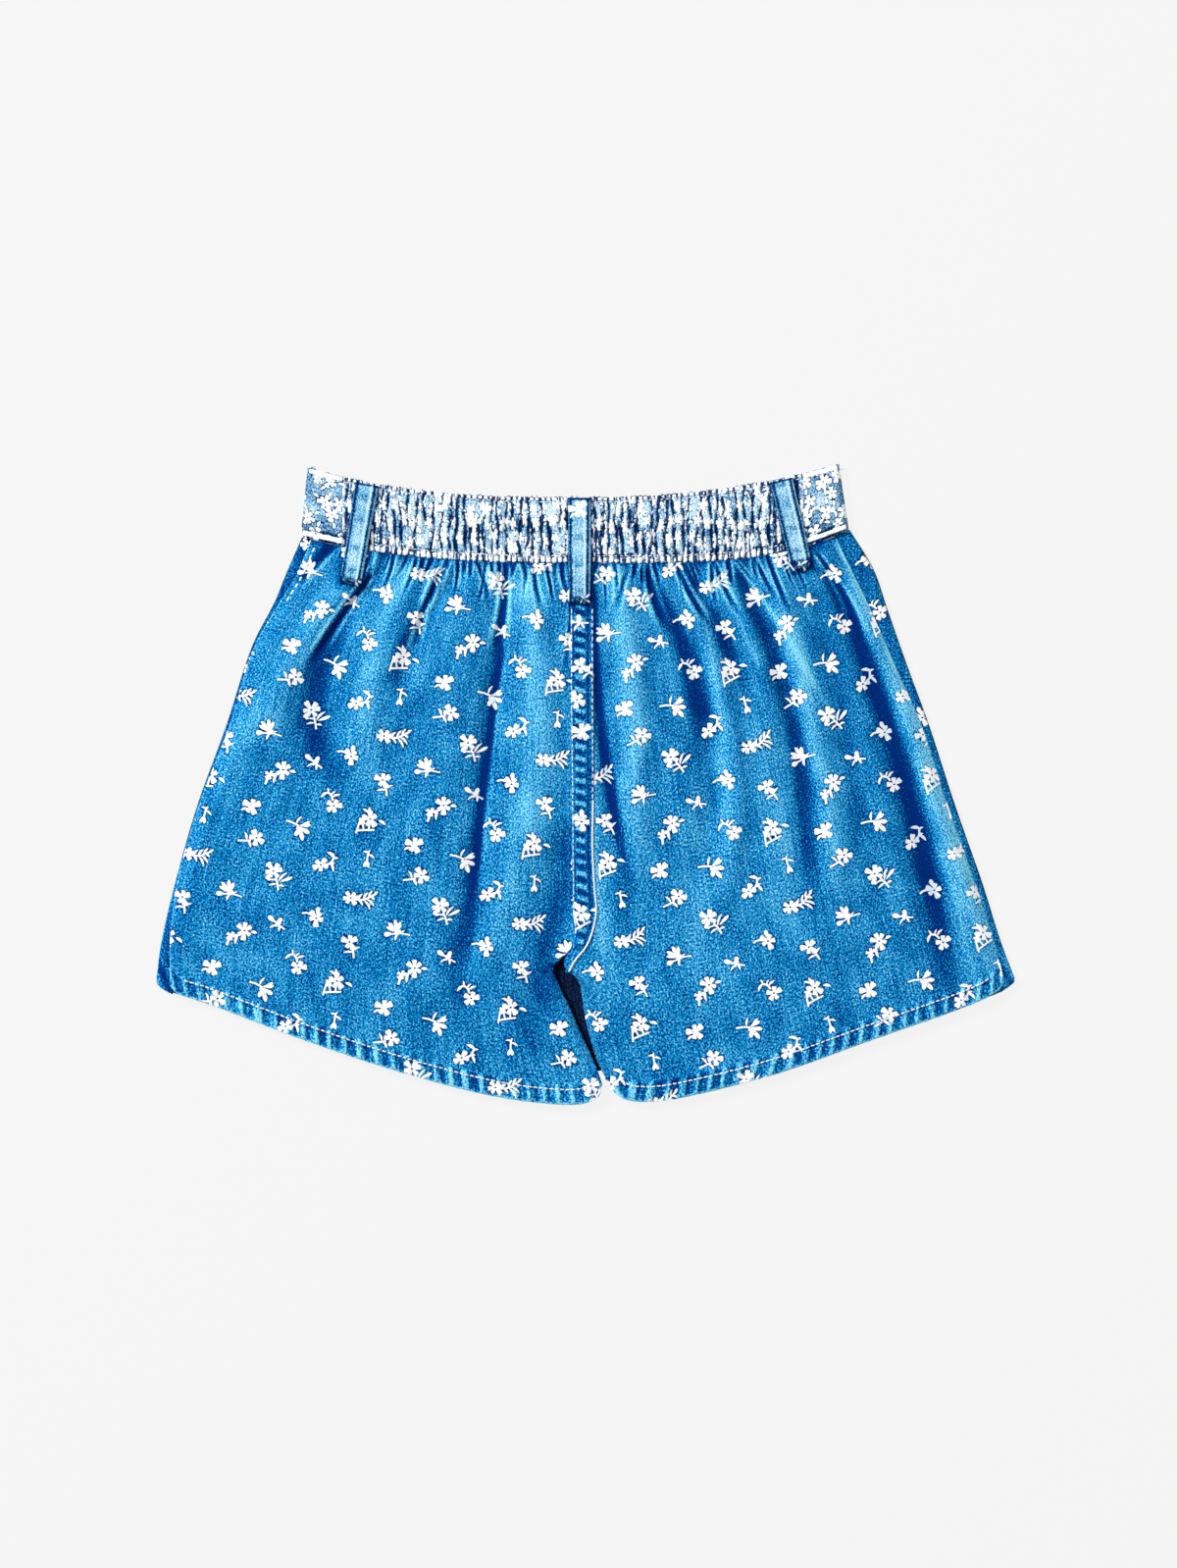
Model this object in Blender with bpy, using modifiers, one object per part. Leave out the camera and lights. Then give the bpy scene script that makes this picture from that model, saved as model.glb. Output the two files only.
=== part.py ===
"""A girl's floral denim skort, laid flat with its back upwards.

From the surface up: the front skirt panel, the two front legs, the two gathered back legs with the
felled seam between them, the plain front waistband that wraps round both ends onto the back, the
ribbed elastic back waistband, and three belt loops.

The tables are in millimetres from the middle of the garment's outline: +X to the right, +Y towards
the waist, +Z up from the surface. The meshes are in metres.
"""

import math
from collections import namedtuple

import bmesh
import bpy
from mathutils.bvhtree import BVHTree

MM = 0.001  # a millimetre, in metres

# ---------------------------------------------------------------- driving sizes, mm

GAP = 0.3  # between neighbouring pieces
SKIRT_CLOTH = 1.0
LEG_CLOTH = 1.2
BAND_CLOTH = 2.0  # the waistband is folded double
SEAM_CLOTH = 1.0
LOOP_CLOTH = 1.2

FRONT_TOP = SKIRT_CLOTH + GAP + LEG_CLOTH  # upper face of the front legs
BACK_EDGE = FRONT_TOP + GAP + LEG_CLOTH  # upper face of a back leg where it lies flattest

CENTRE_X = -1.5  # the centre-back seam
BAND_LOW_Y = 112.6  # the waistband's edges at the centre back
BAND_TOP_Y = 146.0
BAND_THICKNESS = 6.2  # of the flattened waistband, both layers, at its ends
RIB_COUNT = 42
RIB_BASE = BACK_EDGE + 0.9  # upper face of the elastic waistband between its ribs
RIB_RISE = 1.9
RIB_SWAY = 0.5  # how far a rib leans from a straight line

GATHER_COUNT = 11  # for each leg
GATHER_RISE = 1.7
GATHER_REACH = 26.0  # how far the gathers run down from the waistband
PLUMP = 2.6  # how far a leg's cloth stands up between its folds
WAIST_PLUMP = 0.45  # share of that at the waistband
HEM_PLUMP = 0.4  # share of it at the hem
SIDE_ROUND = 7.0  # how far in from the side seam the cloth rounds down
SLIT_ROUND = 8.0  # and to its inside leg
HEM_BAND = 9.0  # height of the turned hem
HEM_RISE = 0.6  # how far the turned hem stands up

SEAM_HALF_WIDTH = 6.0
SEAM_LIFT = 0.5  # of the felled seam's strip over the legs
CROTCH_Y = -88.0
SKIRT_INSET = 3.0  # how far the skirt panel lies inside the front legs
SKIRT_HEM_RISE = 5.0  # how much shorter it is at the centre
INNER_BEND = 4  # how closely a leg's cloth keeps the bend of its inner edge to that edge
SIDE_CROWDING = 1.6  # crowds a plain leg's columns towards its side, for the hem's corner

LOOP_WIDTH = 11.5
LOOP_STATIONS = 14
LOOP_PROBES = 8  # each way from the middle of a belt loop's station
PROBE_START = 30.0  # above everything

LEG_COLUMNS = 4 * GATHER_COUNT
LEG_ROWS = 22
RIB_COLUMNS = 4 * RIB_COUNT

# ---------------------------------------------------------------- outline tables, mm

# A waistband end: where its corners are, and how its two edges climb towards it.
BandEnd = namedtuple("BandEnd", "low_x top_x elastic_x low_rise low_power top_rise top_power")
BAND_ENDS = {
    "left": BandEnd(-145.0, -141.5, -123.5, 13.4, 2.6, 16.2, 2.7),
    "right": BandEnd(134.0, 129.0, 110.5, 17.0, 3.8, 18.5, 2.2),
}

# A side, from waist to hem: the garment's outline, which is the front leg's edge, and how far inside
# it the back leg's seam lies.
Side = namedtuple("Side", "y outline_x back_inset")
SIDES = {
    "left": (
        Side(125.8, -144.5, 5.0),
        Side(105.0, -153.5, 5.0),
        Side(93.8, -158.0, 2.5),
        Side(70.0, -170.0, 1.0),
        Side(30.0, -183.0, 1.5),
        Side(-10.0, -197.5, 0.8),
        Side(-50.0, -209.0, 1.0),
        Side(-80.0, -216.0, 4.5),
        Side(-98.8, -218.5, 7.3),
    ),
    "right": (
        Side(129.5, 134.5, 7.0),
        Side(109.8, 146.5, 10.0),
        Side(89.8, 153.5, 7.5),
        Side(60.0, 164.0, 5.0),
        Side(30.0, 175.0, 3.0),
        Side(-10.0, 188.0, 3.0),
        Side(-50.0, 202.0, 3.0),
        Side(-80.0, 211.5, 3.0),
        Side(-98.5, 218.5, 5.5),
    ),
}

# The centre, from waist to hem: the inner edge of each back leg, which the felled seam joins down to
# the crotch, and how much further back the front leg's edge lies.
Centre = namedtuple("Centre", "y left_x right_x front_setback")
CENTRE = (
    Centre(112.6, -1.5, -1.5, 0.0),
    Centre(50.0, -1.5, -1.5, 0.0),
    Centre(-25.0, -1.4, -1.4, 0.0),
    Centre(-65.0, -2.0, -2.0, 0.0),
    Centre(-80.0, -5.0, -5.0, 0.0),
    Centre(-88.0, -10.5, -8.5, 1.0),
    Centre(-93.0, -16.5, -5.5, 4.0),
    Centre(-100.0, -14.5, -2.5, 5.0),
    Centre(-123.0, -4.5, 0.2, 5.0),
    Centre(-137.0, 3.0, 3.8, 5.0),
    Centre(-145.0, 6.3, 7.6, 5.0),
    Centre(-152.5, 8.6, 12.5, 5.0),
)

# A hem, from the side to the centre: the back leg's edge, and the front leg's under it.
Hem = namedtuple("Hem", "back_x back_y front_x front_y")
HEMS = {
    "left": (
        Hem(-211.2, -102.6, -218.5, -98.8),
        Hem(-206.5, -106.8, -215.0, -104.6),
        Hem(-191.5, -111.6, -203.5, -108.0),
        Hem(-143.5, -129.8, -143.5, -128.3),
        Hem(-95.5, -145.8, -95.5, -144.3),
        Hem(-47.5, -158.3, -47.5, -156.8),
        Hem(-10.0, -162.8, -14.0, -161.0),
        Hem(5.2, -159.8, -2.0, -158.5),
        Hem(8.6, -152.5, 2.0, -152.5),
    ),
    "right": (
        Hem(213.0, -100.3, 218.5, -98.5),
        Hem(208.5, -105.6, 213.5, -104.6),
        Hem(192.5, -113.3, 196.0, -111.3),
        Hem(144.5, -130.3, 144.5, -128.8),
        Hem(96.5, -147.3, 96.5, -145.8),
        Hem(48.5, -159.3, 48.5, -157.8),
        Hem(27.0, -161.2, 30.0, -159.6),
        Hem(16.5, -158.2, 20.5, -157.4),
        Hem(12.5, -152.5, 17.5, -152.5),
    ),
}

# The largest folds: a ridge stands up and a furrow (height below zero) sinks in. Each runs smoothly
# through three places, its half-width growing from the top one to the end one.
Fold = namedtuple("Fold", "top_x top_y mid_x mid_y end_x end_y top_width end_width height")
FOLDS = (
    Fold(-120, 102, -148, 64, -167, 15, 7, 11, 2.0),
    Fold(-110, 102, -134, 56, -128, -5, 5, 12, -2.3),
    Fold(-86, 104, -104, 62, -111, 5, 7, 13, 1.8),
    Fold(-69, 102, -84, 76, -94, 48, 3.5, 6, -1.6),
    Fold(-58, 100, -68, 50, -82, -40, 9, 16, 1.0),
    Fold(-40, 104, -47, 40, -66, -115, 5, 8, -2.4),
    Fold(-26, 95, -24, 15, -45, -75, 8, 11, 1.9),
    Fold(-24, 100, -19, 84, -14, 70, 3, 4, -1.2),
    Fold(-10, -30, -18, -75, -30, -125, 7, 12, -2.0),
    Fold(6, 55, 10, 10, 21, -48, 3, 4.5, -1.5),
    Fold(17, 104, 24, 50, 24, -40, 6, 9, 2.2),
    Fold(33, 102, 52, 64, 58, -50, 4.5, 9, -2.1),
    Fold(50, 100, 66, 60, 71, -60, 4, 7, 2.0),
    Fold(53, 106, 71, 74, 82, 52, 3, 5, -1.7),
    Fold(72, 104, 86, 72, 92, 10, 5, 9, 1.5),
    Fold(80, 102, 98, 60, 110, -60, 4, 8, -2.2),
    Fold(100, 96, 113, 40, 128, -70, 6, 10, 1.9),
    Fold(118, 92, 131, 35, 146, -60, 4, 7, -1.0),
    Fold(127, 103, 150, 42, 184, -98, 5.5, 9, -3.2),
    Fold(138, 102, 163, 42, 205, -92, 5, 8, 2.6),
)

# Belt loops: the middle of the upper and of the lower end.
Loop = namedtuple("Loop", "name top_x top_y end_x end_y")
LOOPS = (
    Loop("belt_loop_left", -111.0, 152.6, -119.5, 101.3),
    Loop("belt_loop_centre", -3.0, 145.6, -3.0, 91.3),
    Loop("belt_loop_right", 99.5, 154.6, 110.5, 108.3),
)

# ---------------------------------------------------------------- colours, linear RGB

DENIM = (0.016, 0.22, 0.50)
DENIM_INSIDE = (0.03, 0.12, 0.26)
BAND_DENIM = (0.22, 0.45, 0.68)
LOOP_DENIM = (0.05, 0.30, 0.58)
DENIM_ROUGHNESS = 0.9


# ---------------------------------------------------------------- small mathematics


def mix(start, end, share):
    return start + (end - start) * share


def ease(share):
    """Zero to one with a soft start and end; flat outside."""
    share = min(max(share, 0.0), 1.0)
    return share * share * (3.0 - 2.0 * share)


def read_table(rows, column, y):
    """A column of a table that runs down in y, read smoothly between its rows."""
    heights = [row.y for row in rows]
    values = [getattr(row, column) for row in rows]
    last = len(rows) - 1
    index = next((i for i in range(last) if y >= heights[i + 1]), last - 1)

    def slope(i):
        before, after = max(i - 1, 0), min(i + 1, last)
        return (values[after] - values[before]) / (heights[after] - heights[before])

    step = heights[index + 1] - heights[index]
    t = (y - heights[index]) / step
    return (
        values[index] * (1 + 2 * t) * (1 - t) ** 2
        + values[index + 1] * t * t * (3 - 2 * t)
        + step * slope(index) * t * (1 - t) ** 2
        + step * slope(index + 1) * t * t * (t - 1)
    )


def smooth_line(points, steps=10):
    """Closely spaced points of a Catmull-Rom curve through a few."""
    first = (2 * points[0][0] - points[1][0], 2 * points[0][1] - points[1][1])
    last = (2 * points[-1][0] - points[-2][0], 2 * points[-1][1] - points[-2][1])
    padded = [first, *points, last]
    line = []
    for i in range(len(points) - 1):
        before, start, end, after = padded[i : i + 4]
        for k in range(steps):
            t = k / steps
            line.append(
                tuple(
                    0.5
                    * (
                        2 * start[axis]
                        + (end[axis] - before[axis]) * t
                        + (2 * before[axis] - 5 * start[axis] + 4 * end[axis] - after[axis]) * t**2
                        + (3 * start[axis] - before[axis] - 3 * end[axis] + after[axis]) * t**3
                    )
                    for axis in (0, 1)
                )
            )
    return line + [points[-1]]


def along(line, share):
    """The point of a line at a share of its length."""
    lengths = [math.dist(a, b) for a, b in zip(line, line[1:])]
    left = share * sum(lengths)
    for (a, b), length in zip(zip(line, line[1:]), lengths):
        if left <= length:
            return tuple(mix(a[axis], b[axis], left / length) for axis in (0, 1))
        left -= length
    return line[-1]


# ---------------------------------------------------------------- the waistband's plan


def band_side(x):
    return "left" if x < CENTRE_X else "right"


def band_share(x):
    """How far along its half of the waistband x lies: 0 at the centre back, 1 at the end."""
    return (x - CENTRE_X) / (BAND_ENDS[band_side(x)].low_x - CENTRE_X)


def band_low(x):
    """The waistband's lower edge, where the legs are sewn on."""
    end = BAND_ENDS[band_side(x)]
    return BAND_LOW_Y + end.low_rise * band_share(x) ** end.low_power


def band_top(x):
    end = BAND_ENDS[band_side(x)]
    return BAND_TOP_Y + end.top_rise * band_share(x) ** end.top_power


def band_end_x(side, v):
    """The slanted end of the waistband at height v, 0 at its lower edge and 1 at its top."""
    return mix(BAND_ENDS[side].low_x, BAND_ENDS[side].top_x, v)


def band_y(x, v):
    return mix(band_low(x), band_top(x), v)


# ---------------------------------------------------------------- the legs' plan


def outward(side):
    return -1.0 if side == "left" else 1.0


def side_x(side, layer, y):
    """The side edge of a leg."""
    rows = SIDES[side]
    x = read_table(rows, "outline_x", y)
    if layer == "back":
        x -= outward(side) * read_table(rows, "back_inset", y)
    return x


def centre_x(side, layer, y):
    """The inner edge of a leg: half a gap from the seam, and the inside leg below it."""
    x = read_table(CENTRE, side + "_x", y) + outward(side) * GAP / 2
    if layer == "front":
        x += outward(side) * max(read_table(CENTRE, "front_setback", y), 0.0)
    return x


class LegPlan:
    """A leg seen from above: s runs from the side (0) to the centre (1), v from hem to waist."""

    def __init__(self, side, layer):
        self.side = side
        self.layer = layer
        self.hem = smooth_line(
            [(getattr(row, layer + "_x"), getattr(row, layer + "_y")) for row in HEMS[side]]
        )
        self.side_top_x = side_x(side, layer, SIDES[side][0].y)
        self.side_top_y = band_low(self.side_top_x) - GAP
        self.centre_top_y = BAND_LOW_Y - GAP

    def side_point(self, v):
        y = mix(self.hem[0][1], self.side_top_y, v)
        end_miss = self.hem[0][0] - side_x(self.side, self.layer, self.hem[0][1])
        top_miss = self.side_top_x - side_x(self.side, self.layer, self.side_top_y)
        return side_x(self.side, self.layer, y) + mix(end_miss, top_miss, v), y

    def centre_point(self, v):
        y = mix(self.hem[-1][1], self.centre_top_y, v)
        end_miss = self.hem[-1][0] - centre_x(self.side, self.layer, self.hem[-1][1])
        miss = end_miss * (1 - ease(v / 0.06))
        return centre_x(self.side, self.layer, y) + miss, y

    def waist_point(self, s):
        x = mix(self.side_top_x, self.centre_point(1.0)[0], s)
        return x, band_low(x) - GAP

    def point(self, s, v):
        """A Coons patch between the edges, whose inner one is straight, bent near that edge."""
        side, centre = self.side_point(v), self.centre_point(v)
        waist, hem = self.waist_point(s), along(self.hem, s)
        hem_side, hem_centre = self.hem[0], self.hem[-1]
        waist_side, waist_centre = self.waist_point(0.0), self.waist_point(1.0)
        place = []
        for axis in (0, 1):
            straight = mix(hem_centre[axis], waist_centre[axis], v)
            corners = mix(
                mix(hem_side[axis], hem_centre[axis], s),
                mix(waist_side[axis], waist_centre[axis], s),
                v,
            )
            across = mix(side[axis], straight, s)
            upward = mix(hem[axis], waist[axis], v)
            bend = (centre[axis] - straight) * s**INNER_BEND
            place.append(across + upward - corners + bend)
        return tuple(place)

    def width(self, v):
        return abs(self.side_point(v)[0] - self.centre_point(v)[0])

    def length(self, s):
        return math.dist(along(self.hem, s), self.waist_point(s))


# ---------------------------------------------------------------- the folds


def fold_height(fold, x, y):
    """What one fold adds at a place: a soft ridge across a line bent through three places."""
    top, mid, end = fold.top_y, fold.mid_y, fold.end_y
    line_x = (
        fold.top_x * (y - mid) * (y - end) / ((top - mid) * (top - end))
        + fold.mid_x * (y - top) * (y - end) / ((mid - top) * (mid - end))
        + fold.end_x * (y - top) * (y - mid) / ((end - top) * (end - mid))
    )
    reach = top - end
    fading = ease((y - end + 0.15 * reach) / (0.45 * reach)) * ease((top + 14.0 - y) / 14.0)
    if fading == 0.0:
        return 0.0
    share = min(max((top - y) / reach, 0.0), 1.0)
    width = mix(fold.top_width, fold.end_width, share)
    return fold.height * fading * math.exp(-(((x - line_x) / width) ** 2))


def soft_floor(height, softness=0.5):
    """The height itself while it is well above zero, easing out to zero below."""
    return softness * math.log1p(math.exp(height / softness))


def back_relief(plan, s, v, x, y):
    """How far a back leg's outer face stands above BACK_EDGE."""
    from_waist = (1 - v) * plan.length(s)
    from_hem = v * plan.length(s)
    from_side = s * plan.width(v)
    from_centre = (1 - s) * plan.width(v)
    plump = PLUMP * mix(WAIST_PLUMP, 1.0, ease(from_waist / 32.0))
    folds = sum(fold_height(fold, x, y) for fold in FOLDS)
    body = soft_floor(plump + folds * mix(0.35, 1.0, ease(from_waist / 22.0)))
    body *= mix(HEM_PLUMP, 1.0, ease(from_hem / 60.0))
    uneven = s + 0.010 * math.sin(6 * math.pi * s)
    gather = GATHER_RISE * (0.5 - 0.5 * math.cos(2 * math.pi * GATHER_COUNT * uneven))
    gather *= 1 - ease(from_waist / GATHER_REACH)
    slit = ease((CROTCH_Y - y) / 10.0)
    rounding = ease(0.15 + 0.85 * from_side / SIDE_ROUND)
    rounding *= mix(1.0, ease(0.15 + 0.85 * from_centre / SLIT_ROUND), slit)
    turned = HEM_RISE * (1 - ease((from_hem - HEM_BAND) / 2.0))
    return (body + gather) * rounding + turned


def back_point(plan, s, v):
    """A point of a back leg's outer face."""
    x, y = plan.point(s, v)
    return x, y, BACK_EDGE + back_relief(plan, s, v, x, y)


# ---------------------------------------------------------------- making cloth


def cloth_material(name, colour):
    material = bpy.data.materials.new(name)
    material.use_nodes = True
    shader = material.node_tree.nodes["Principled BSDF"]
    shader.inputs["Base Color"].default_value = (*colour, 1.0)
    shader.inputs["Roughness"].default_value = DENIM_ROUGHNESS
    shader.inputs["Metallic"].default_value = 0.0
    return material


def sheet(name, columns, rows, place, colour):
    """An open sheet: a grid whose points place(u, v) sets, u to the right and v to the waist."""
    surface = bmesh.new()
    bmesh.ops.create_grid(surface, x_segments=columns, y_segments=rows, size=0.5)
    for vertex in surface.verts:
        x, y, z = place(vertex.co.x + 0.5, vertex.co.y + 0.5)
        vertex.co = (x * MM, y * MM, z * MM)
    mesh = bpy.data.meshes.new(name)
    surface.to_mesh(mesh)
    surface.free()
    mesh.materials.append(cloth_material(name, colour))
    mesh.shade_smooth()
    piece = bpy.data.objects.new(name, mesh)
    garment.objects.link(piece)
    return piece


def thicken(piece, cloth):
    """Gives an open sheet its cloth, on the side away from its face."""
    solidify = piece.modifiers.new("cloth", "SOLIDIFY")
    solidify.thickness = cloth * MM
    solidify.offset = -1.0
    return piece


def hem_rows(v):
    """Spreads a leg's rows: closer at the gathers, and one on each side of the hem's turn."""
    hem_share = HEM_BAND / 240.0
    step = 1.0 / LEG_ROWS
    if v < 1.5 * step:
        return hem_share * v / step
    lower = hem_share * 1.25
    upward = (v - 2 * step) / (1 - 2 * step)
    return lower + (1 - lower) * (1 - (1 - upward) ** 1.3)


def flat_leg(side):
    plan = LegPlan(side, "front")

    def place(u, v):
        s = u if side == "left" else 1 - u
        x, y = plan.point(s**SIDE_CROWDING, v)
        return x, y, FRONT_TOP

    return thicken(sheet("front_" + side, 10, 24, place, DENIM_INSIDE), LEG_CLOTH)


def gathered_leg(side):
    plan = LegPlan(side, "back")

    def place(u, v):
        s = u if side == "left" else 1 - u
        return back_point(plan, s, hem_rows(v))

    return thicken(sheet("back_" + side, LEG_COLUMNS, LEG_ROWS, place, DENIM), LEG_CLOTH)


def skirt_front():
    """The undermost panel: the front legs' outline drawn in, with one hem right across."""
    plans = {side: LegPlan(side, "front") for side in SIDES}

    def place(u, v):
        side = "left" if u < 0.5 else "right"
        plan = plans[side]
        s = 2 * u if side == "left" else 2 - 2 * u
        x_side, y_side = plan.side_point(v)
        x_side -= outward(side) * SKIRT_INSET
        x = mix(x_side, CENTRE_X, s)
        hem_y = mix(plan.hem[0][1] + SKIRT_INSET, plan.hem[-1][1] + SKIRT_HEM_RISE, s**0.8)
        waist_x = mix(plan.side_top_x - outward(side) * SKIRT_INSET, CENTRE_X, s)
        return x, mix(hem_y, band_low(waist_x) - GAP, v), SKIRT_CLOTH

    return thicken(sheet("skirt_front", 16, 24, place, DENIM_INSIDE), SKIRT_CLOTH)


def waistband_front():
    """A flattened loop of doubled cloth: under the back, round both ends and onto the top."""
    radius = BAND_THICKNESS / 2
    turn_steps, top_steps, under_steps = 6, 3, 12
    stations = [("top", "left", i / top_steps) for i in range(top_steps)]
    stations += [("turn", "left", i / turn_steps) for i in range(turn_steps)]
    stations += [("under", "left", i / under_steps) for i in range(under_steps)]
    stations += [("turn", "right", 1 - i / turn_steps) for i in range(turn_steps)]
    stations += [("top", "right", 1 - i / top_steps) for i in range(top_steps + 1)]

    def place(u, v):
        kind, side, share = stations[round((1 - u) * (len(stations) - 1))]
        end_x = band_end_x(side, v)
        turn_x = end_x - outward(side) * radius
        if kind == "top":
            x = mix(BAND_ENDS[side].elastic_x + outward(side) * GAP, turn_x, share)
            z = BAND_THICKNESS
        elif kind == "turn":
            angle = math.pi * share
            x = turn_x + outward(side) * radius * math.sin(angle)
            z = radius + radius * math.cos(angle)
        else:
            x = mix(turn_x, band_end_x("right", v) - radius, share)
            z = 0.0
        return x, band_y(x, v), z

    band = sheet("waistband_front", len(stations) - 1, 3, place, BAND_DENIM)
    return thicken(band, BAND_CLOTH)


def waistband_back():
    """The elastic waistband: ribs raised in its outer points over a plain inside."""
    left, right = BAND_ENDS["left"].elastic_x, BAND_ENDS["right"].elastic_x

    def place(u, v):
        swell = math.sin(math.pi * mix(0.18, 0.82, v))
        rib = 0.5 - 0.5 * math.cos(2 * math.pi * RIB_COUNT * u)
        ends = min(u, 1 - u)
        lean = RIB_SWAY * math.sin(23 * u + 2.5 * v) * ease(ends / 0.02)
        x = mix(left, right, u) + lean
        return x, band_y(x, v), RIB_BASE + RIB_RISE * rib * swell

    band = sheet("waistband_back", RIB_COLUMNS, 4, place, BAND_DENIM)
    shell = bmesh.new()
    shell.from_mesh(band.data)
    made = bmesh.ops.extrude_face_region(shell, geom=shell.faces[:], use_keep_orig=True)
    for element in made["geom"]:
        if isinstance(element, bmesh.types.BMVert):
            element.co.z = (FRONT_TOP + GAP) * MM
    bmesh.ops.recalc_face_normals(shell, faces=shell.faces[:])
    shell.to_mesh(band.data)
    shell.free()
    return band


def centre_back_seam():
    """The felled seam: the two legs' points on either side of the join, moved out."""
    plans = {side: LegPlan(side, "back") for side in SIDES}
    hem_y = plans["left"].hem[-1][1]
    crotch_v = (CROTCH_Y - hem_y) / (plans["left"].centre_top_y - hem_y)
    leg_rows = [hem_rows(i / LEG_ROWS) for i in range(LEG_ROWS + 1)]
    rows = [height for height in leg_rows if height >= crotch_v]

    def place(u, v):
        across = mix(-SEAM_HALF_WIDTH, SEAM_HALF_WIDTH, u)
        plan = plans["left" if across < 0 else "right"]
        height = rows[round(v * (len(rows) - 1))]
        x, y, z = back_point(plan, 1 - abs(across) / plan.width(height), height)
        return x, y, z + SEAM_LIFT + SEAM_CLOTH

    return thicken(sheet("centre_back_seam", 4, len(rows) - 1, place, DENIM), SEAM_CLOTH)


def joined_surface(pieces):
    """The pieces' outer faces as one surface that rays can meet."""
    surface = bmesh.new()
    for piece in pieces:
        surface.from_mesh(piece.data)
    tree = BVHTree.FromBMesh(surface)
    surface.free()
    return tree


def highest_under(surface, middle, direction, half_length, half_width):
    """The highest place, in mm, of a surface under a small level rectangle."""
    highest = 0.0
    for i in range(-LOOP_PROBES, LOOP_PROBES + 1):
        for k in range(-LOOP_PROBES, LOOP_PROBES + 1):
            run, across = half_length * i / LOOP_PROBES, half_width * k / LOOP_PROBES
            x = middle[0] + direction[0] * run + direction[1] * across
            y = middle[1] + direction[1] * run - direction[0] * across
            met = surface.ray_cast((x * MM, y * MM, PROBE_START * MM), (0.0, 0.0, -1.0))[0]
            if met is not None:
                highest = max(highest, met.z / MM)
    return highest


def belt_loop(loop, surface):
    """A strip that lies on the waistband and hangs onto the leg below it."""
    length = math.dist((loop.top_x, loop.top_y), (loop.end_x, loop.end_y))
    direction = ((loop.top_x - loop.end_x) / length, (loop.top_y - loop.end_y) / length)
    step = length / LOOP_STATIONS
    heights = []
    for i in range(LOOP_STATIONS + 1):
        middle = (loop.end_x + direction[0] * i * step, loop.end_y + direction[1] * i * step)
        heights.append(highest_under(surface, middle, direction, step, LOOP_WIDTH / 2 + GAP))

    def place(u, v):
        run, across = v * length, (u - 0.5) * LOOP_WIDTH
        x = loop.end_x + direction[0] * run + direction[1] * across
        y = loop.end_y + direction[1] * run - direction[0] * across
        return x, y, heights[round(v * LOOP_STATIONS)] + 2 * GAP + LOOP_CLOTH

    return thicken(sheet(loop.name, 3, LOOP_STATIONS, place, LOOP_DENIM), LOOP_CLOTH)


# ---------------------------------------------------------------- the garment

for old in list(bpy.data.objects):
    bpy.data.objects.remove(old)

garment = bpy.data.collections.new("skort")
bpy.context.scene.collection.children.link(garment)

skirt_front()
for leg_side in ("left", "right"):
    flat_leg(leg_side)
waistband_front()
back_pieces = [gathered_leg(leg_side) for leg_side in ("left", "right")]
back_pieces.append(waistband_back())
back_pieces.append(centre_back_seam())
back_surface = joined_surface(back_pieces)
for belt in LOOPS:
    belt_loop(belt, back_surface)
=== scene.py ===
# %% [markdown]
# A child's skort in floral denim lies flat on a pale floor, back upwards, seen from straight above.
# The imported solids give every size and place. Each one is dressed here by a piece of real cloth:
# a thin shell on the same form, with its creases, print, seams and stitches.
# The work is in millimetres in the garment's own frame, and turns into metres when a mesh is made.

import itertools
import math
import random
from collections import namedtuple

import bpy
import numpy as np
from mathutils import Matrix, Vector
from mathutils.bvhtree import BVHTree
from mathutils.geometry import delaunay_2d_cdt


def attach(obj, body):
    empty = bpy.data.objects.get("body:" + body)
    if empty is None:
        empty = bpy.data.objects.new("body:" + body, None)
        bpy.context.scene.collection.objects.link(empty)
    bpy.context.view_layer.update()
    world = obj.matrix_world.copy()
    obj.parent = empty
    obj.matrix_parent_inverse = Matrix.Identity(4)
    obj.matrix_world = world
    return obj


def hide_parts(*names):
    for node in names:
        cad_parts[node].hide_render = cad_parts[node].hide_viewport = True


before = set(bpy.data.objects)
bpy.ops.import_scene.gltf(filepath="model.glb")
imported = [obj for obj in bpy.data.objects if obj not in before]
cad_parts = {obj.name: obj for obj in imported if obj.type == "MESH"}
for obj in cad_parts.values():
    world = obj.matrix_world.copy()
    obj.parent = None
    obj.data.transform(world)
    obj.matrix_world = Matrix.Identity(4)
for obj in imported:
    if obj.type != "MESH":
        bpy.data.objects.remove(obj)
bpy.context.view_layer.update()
MM = 0.001  # a millimetre, in metres
print("solids:", sorted(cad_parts))

# %% [markdown]
# The camera comes first, so that every later piece can be judged in the photograph's own framing.
# The picture was taken from straight above, so a long lens far away keeps the perspective flat.
# A pixel of the photograph is half a millimetre of cloth; the helper below turns one into the other.

# %% Camera straight above
PIXEL = 0.5  # mm of cloth in a pixel of the photograph
PHOTO_SIZE = (1200, 1598)
PHOTO_ORIGIN = (597.0, 799.5)  # the pixel over the frame's origin
CAMERA_HEIGHT = 2000.0
SENSOR = 36.0


def from_photo(px, py):
    """A pixel of the photograph as a place on the floor, in mm."""
    return (px - PHOTO_ORIGIN[0]) * PIXEL, (PHOTO_ORIGIN[1] - py) * PIXEL


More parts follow.
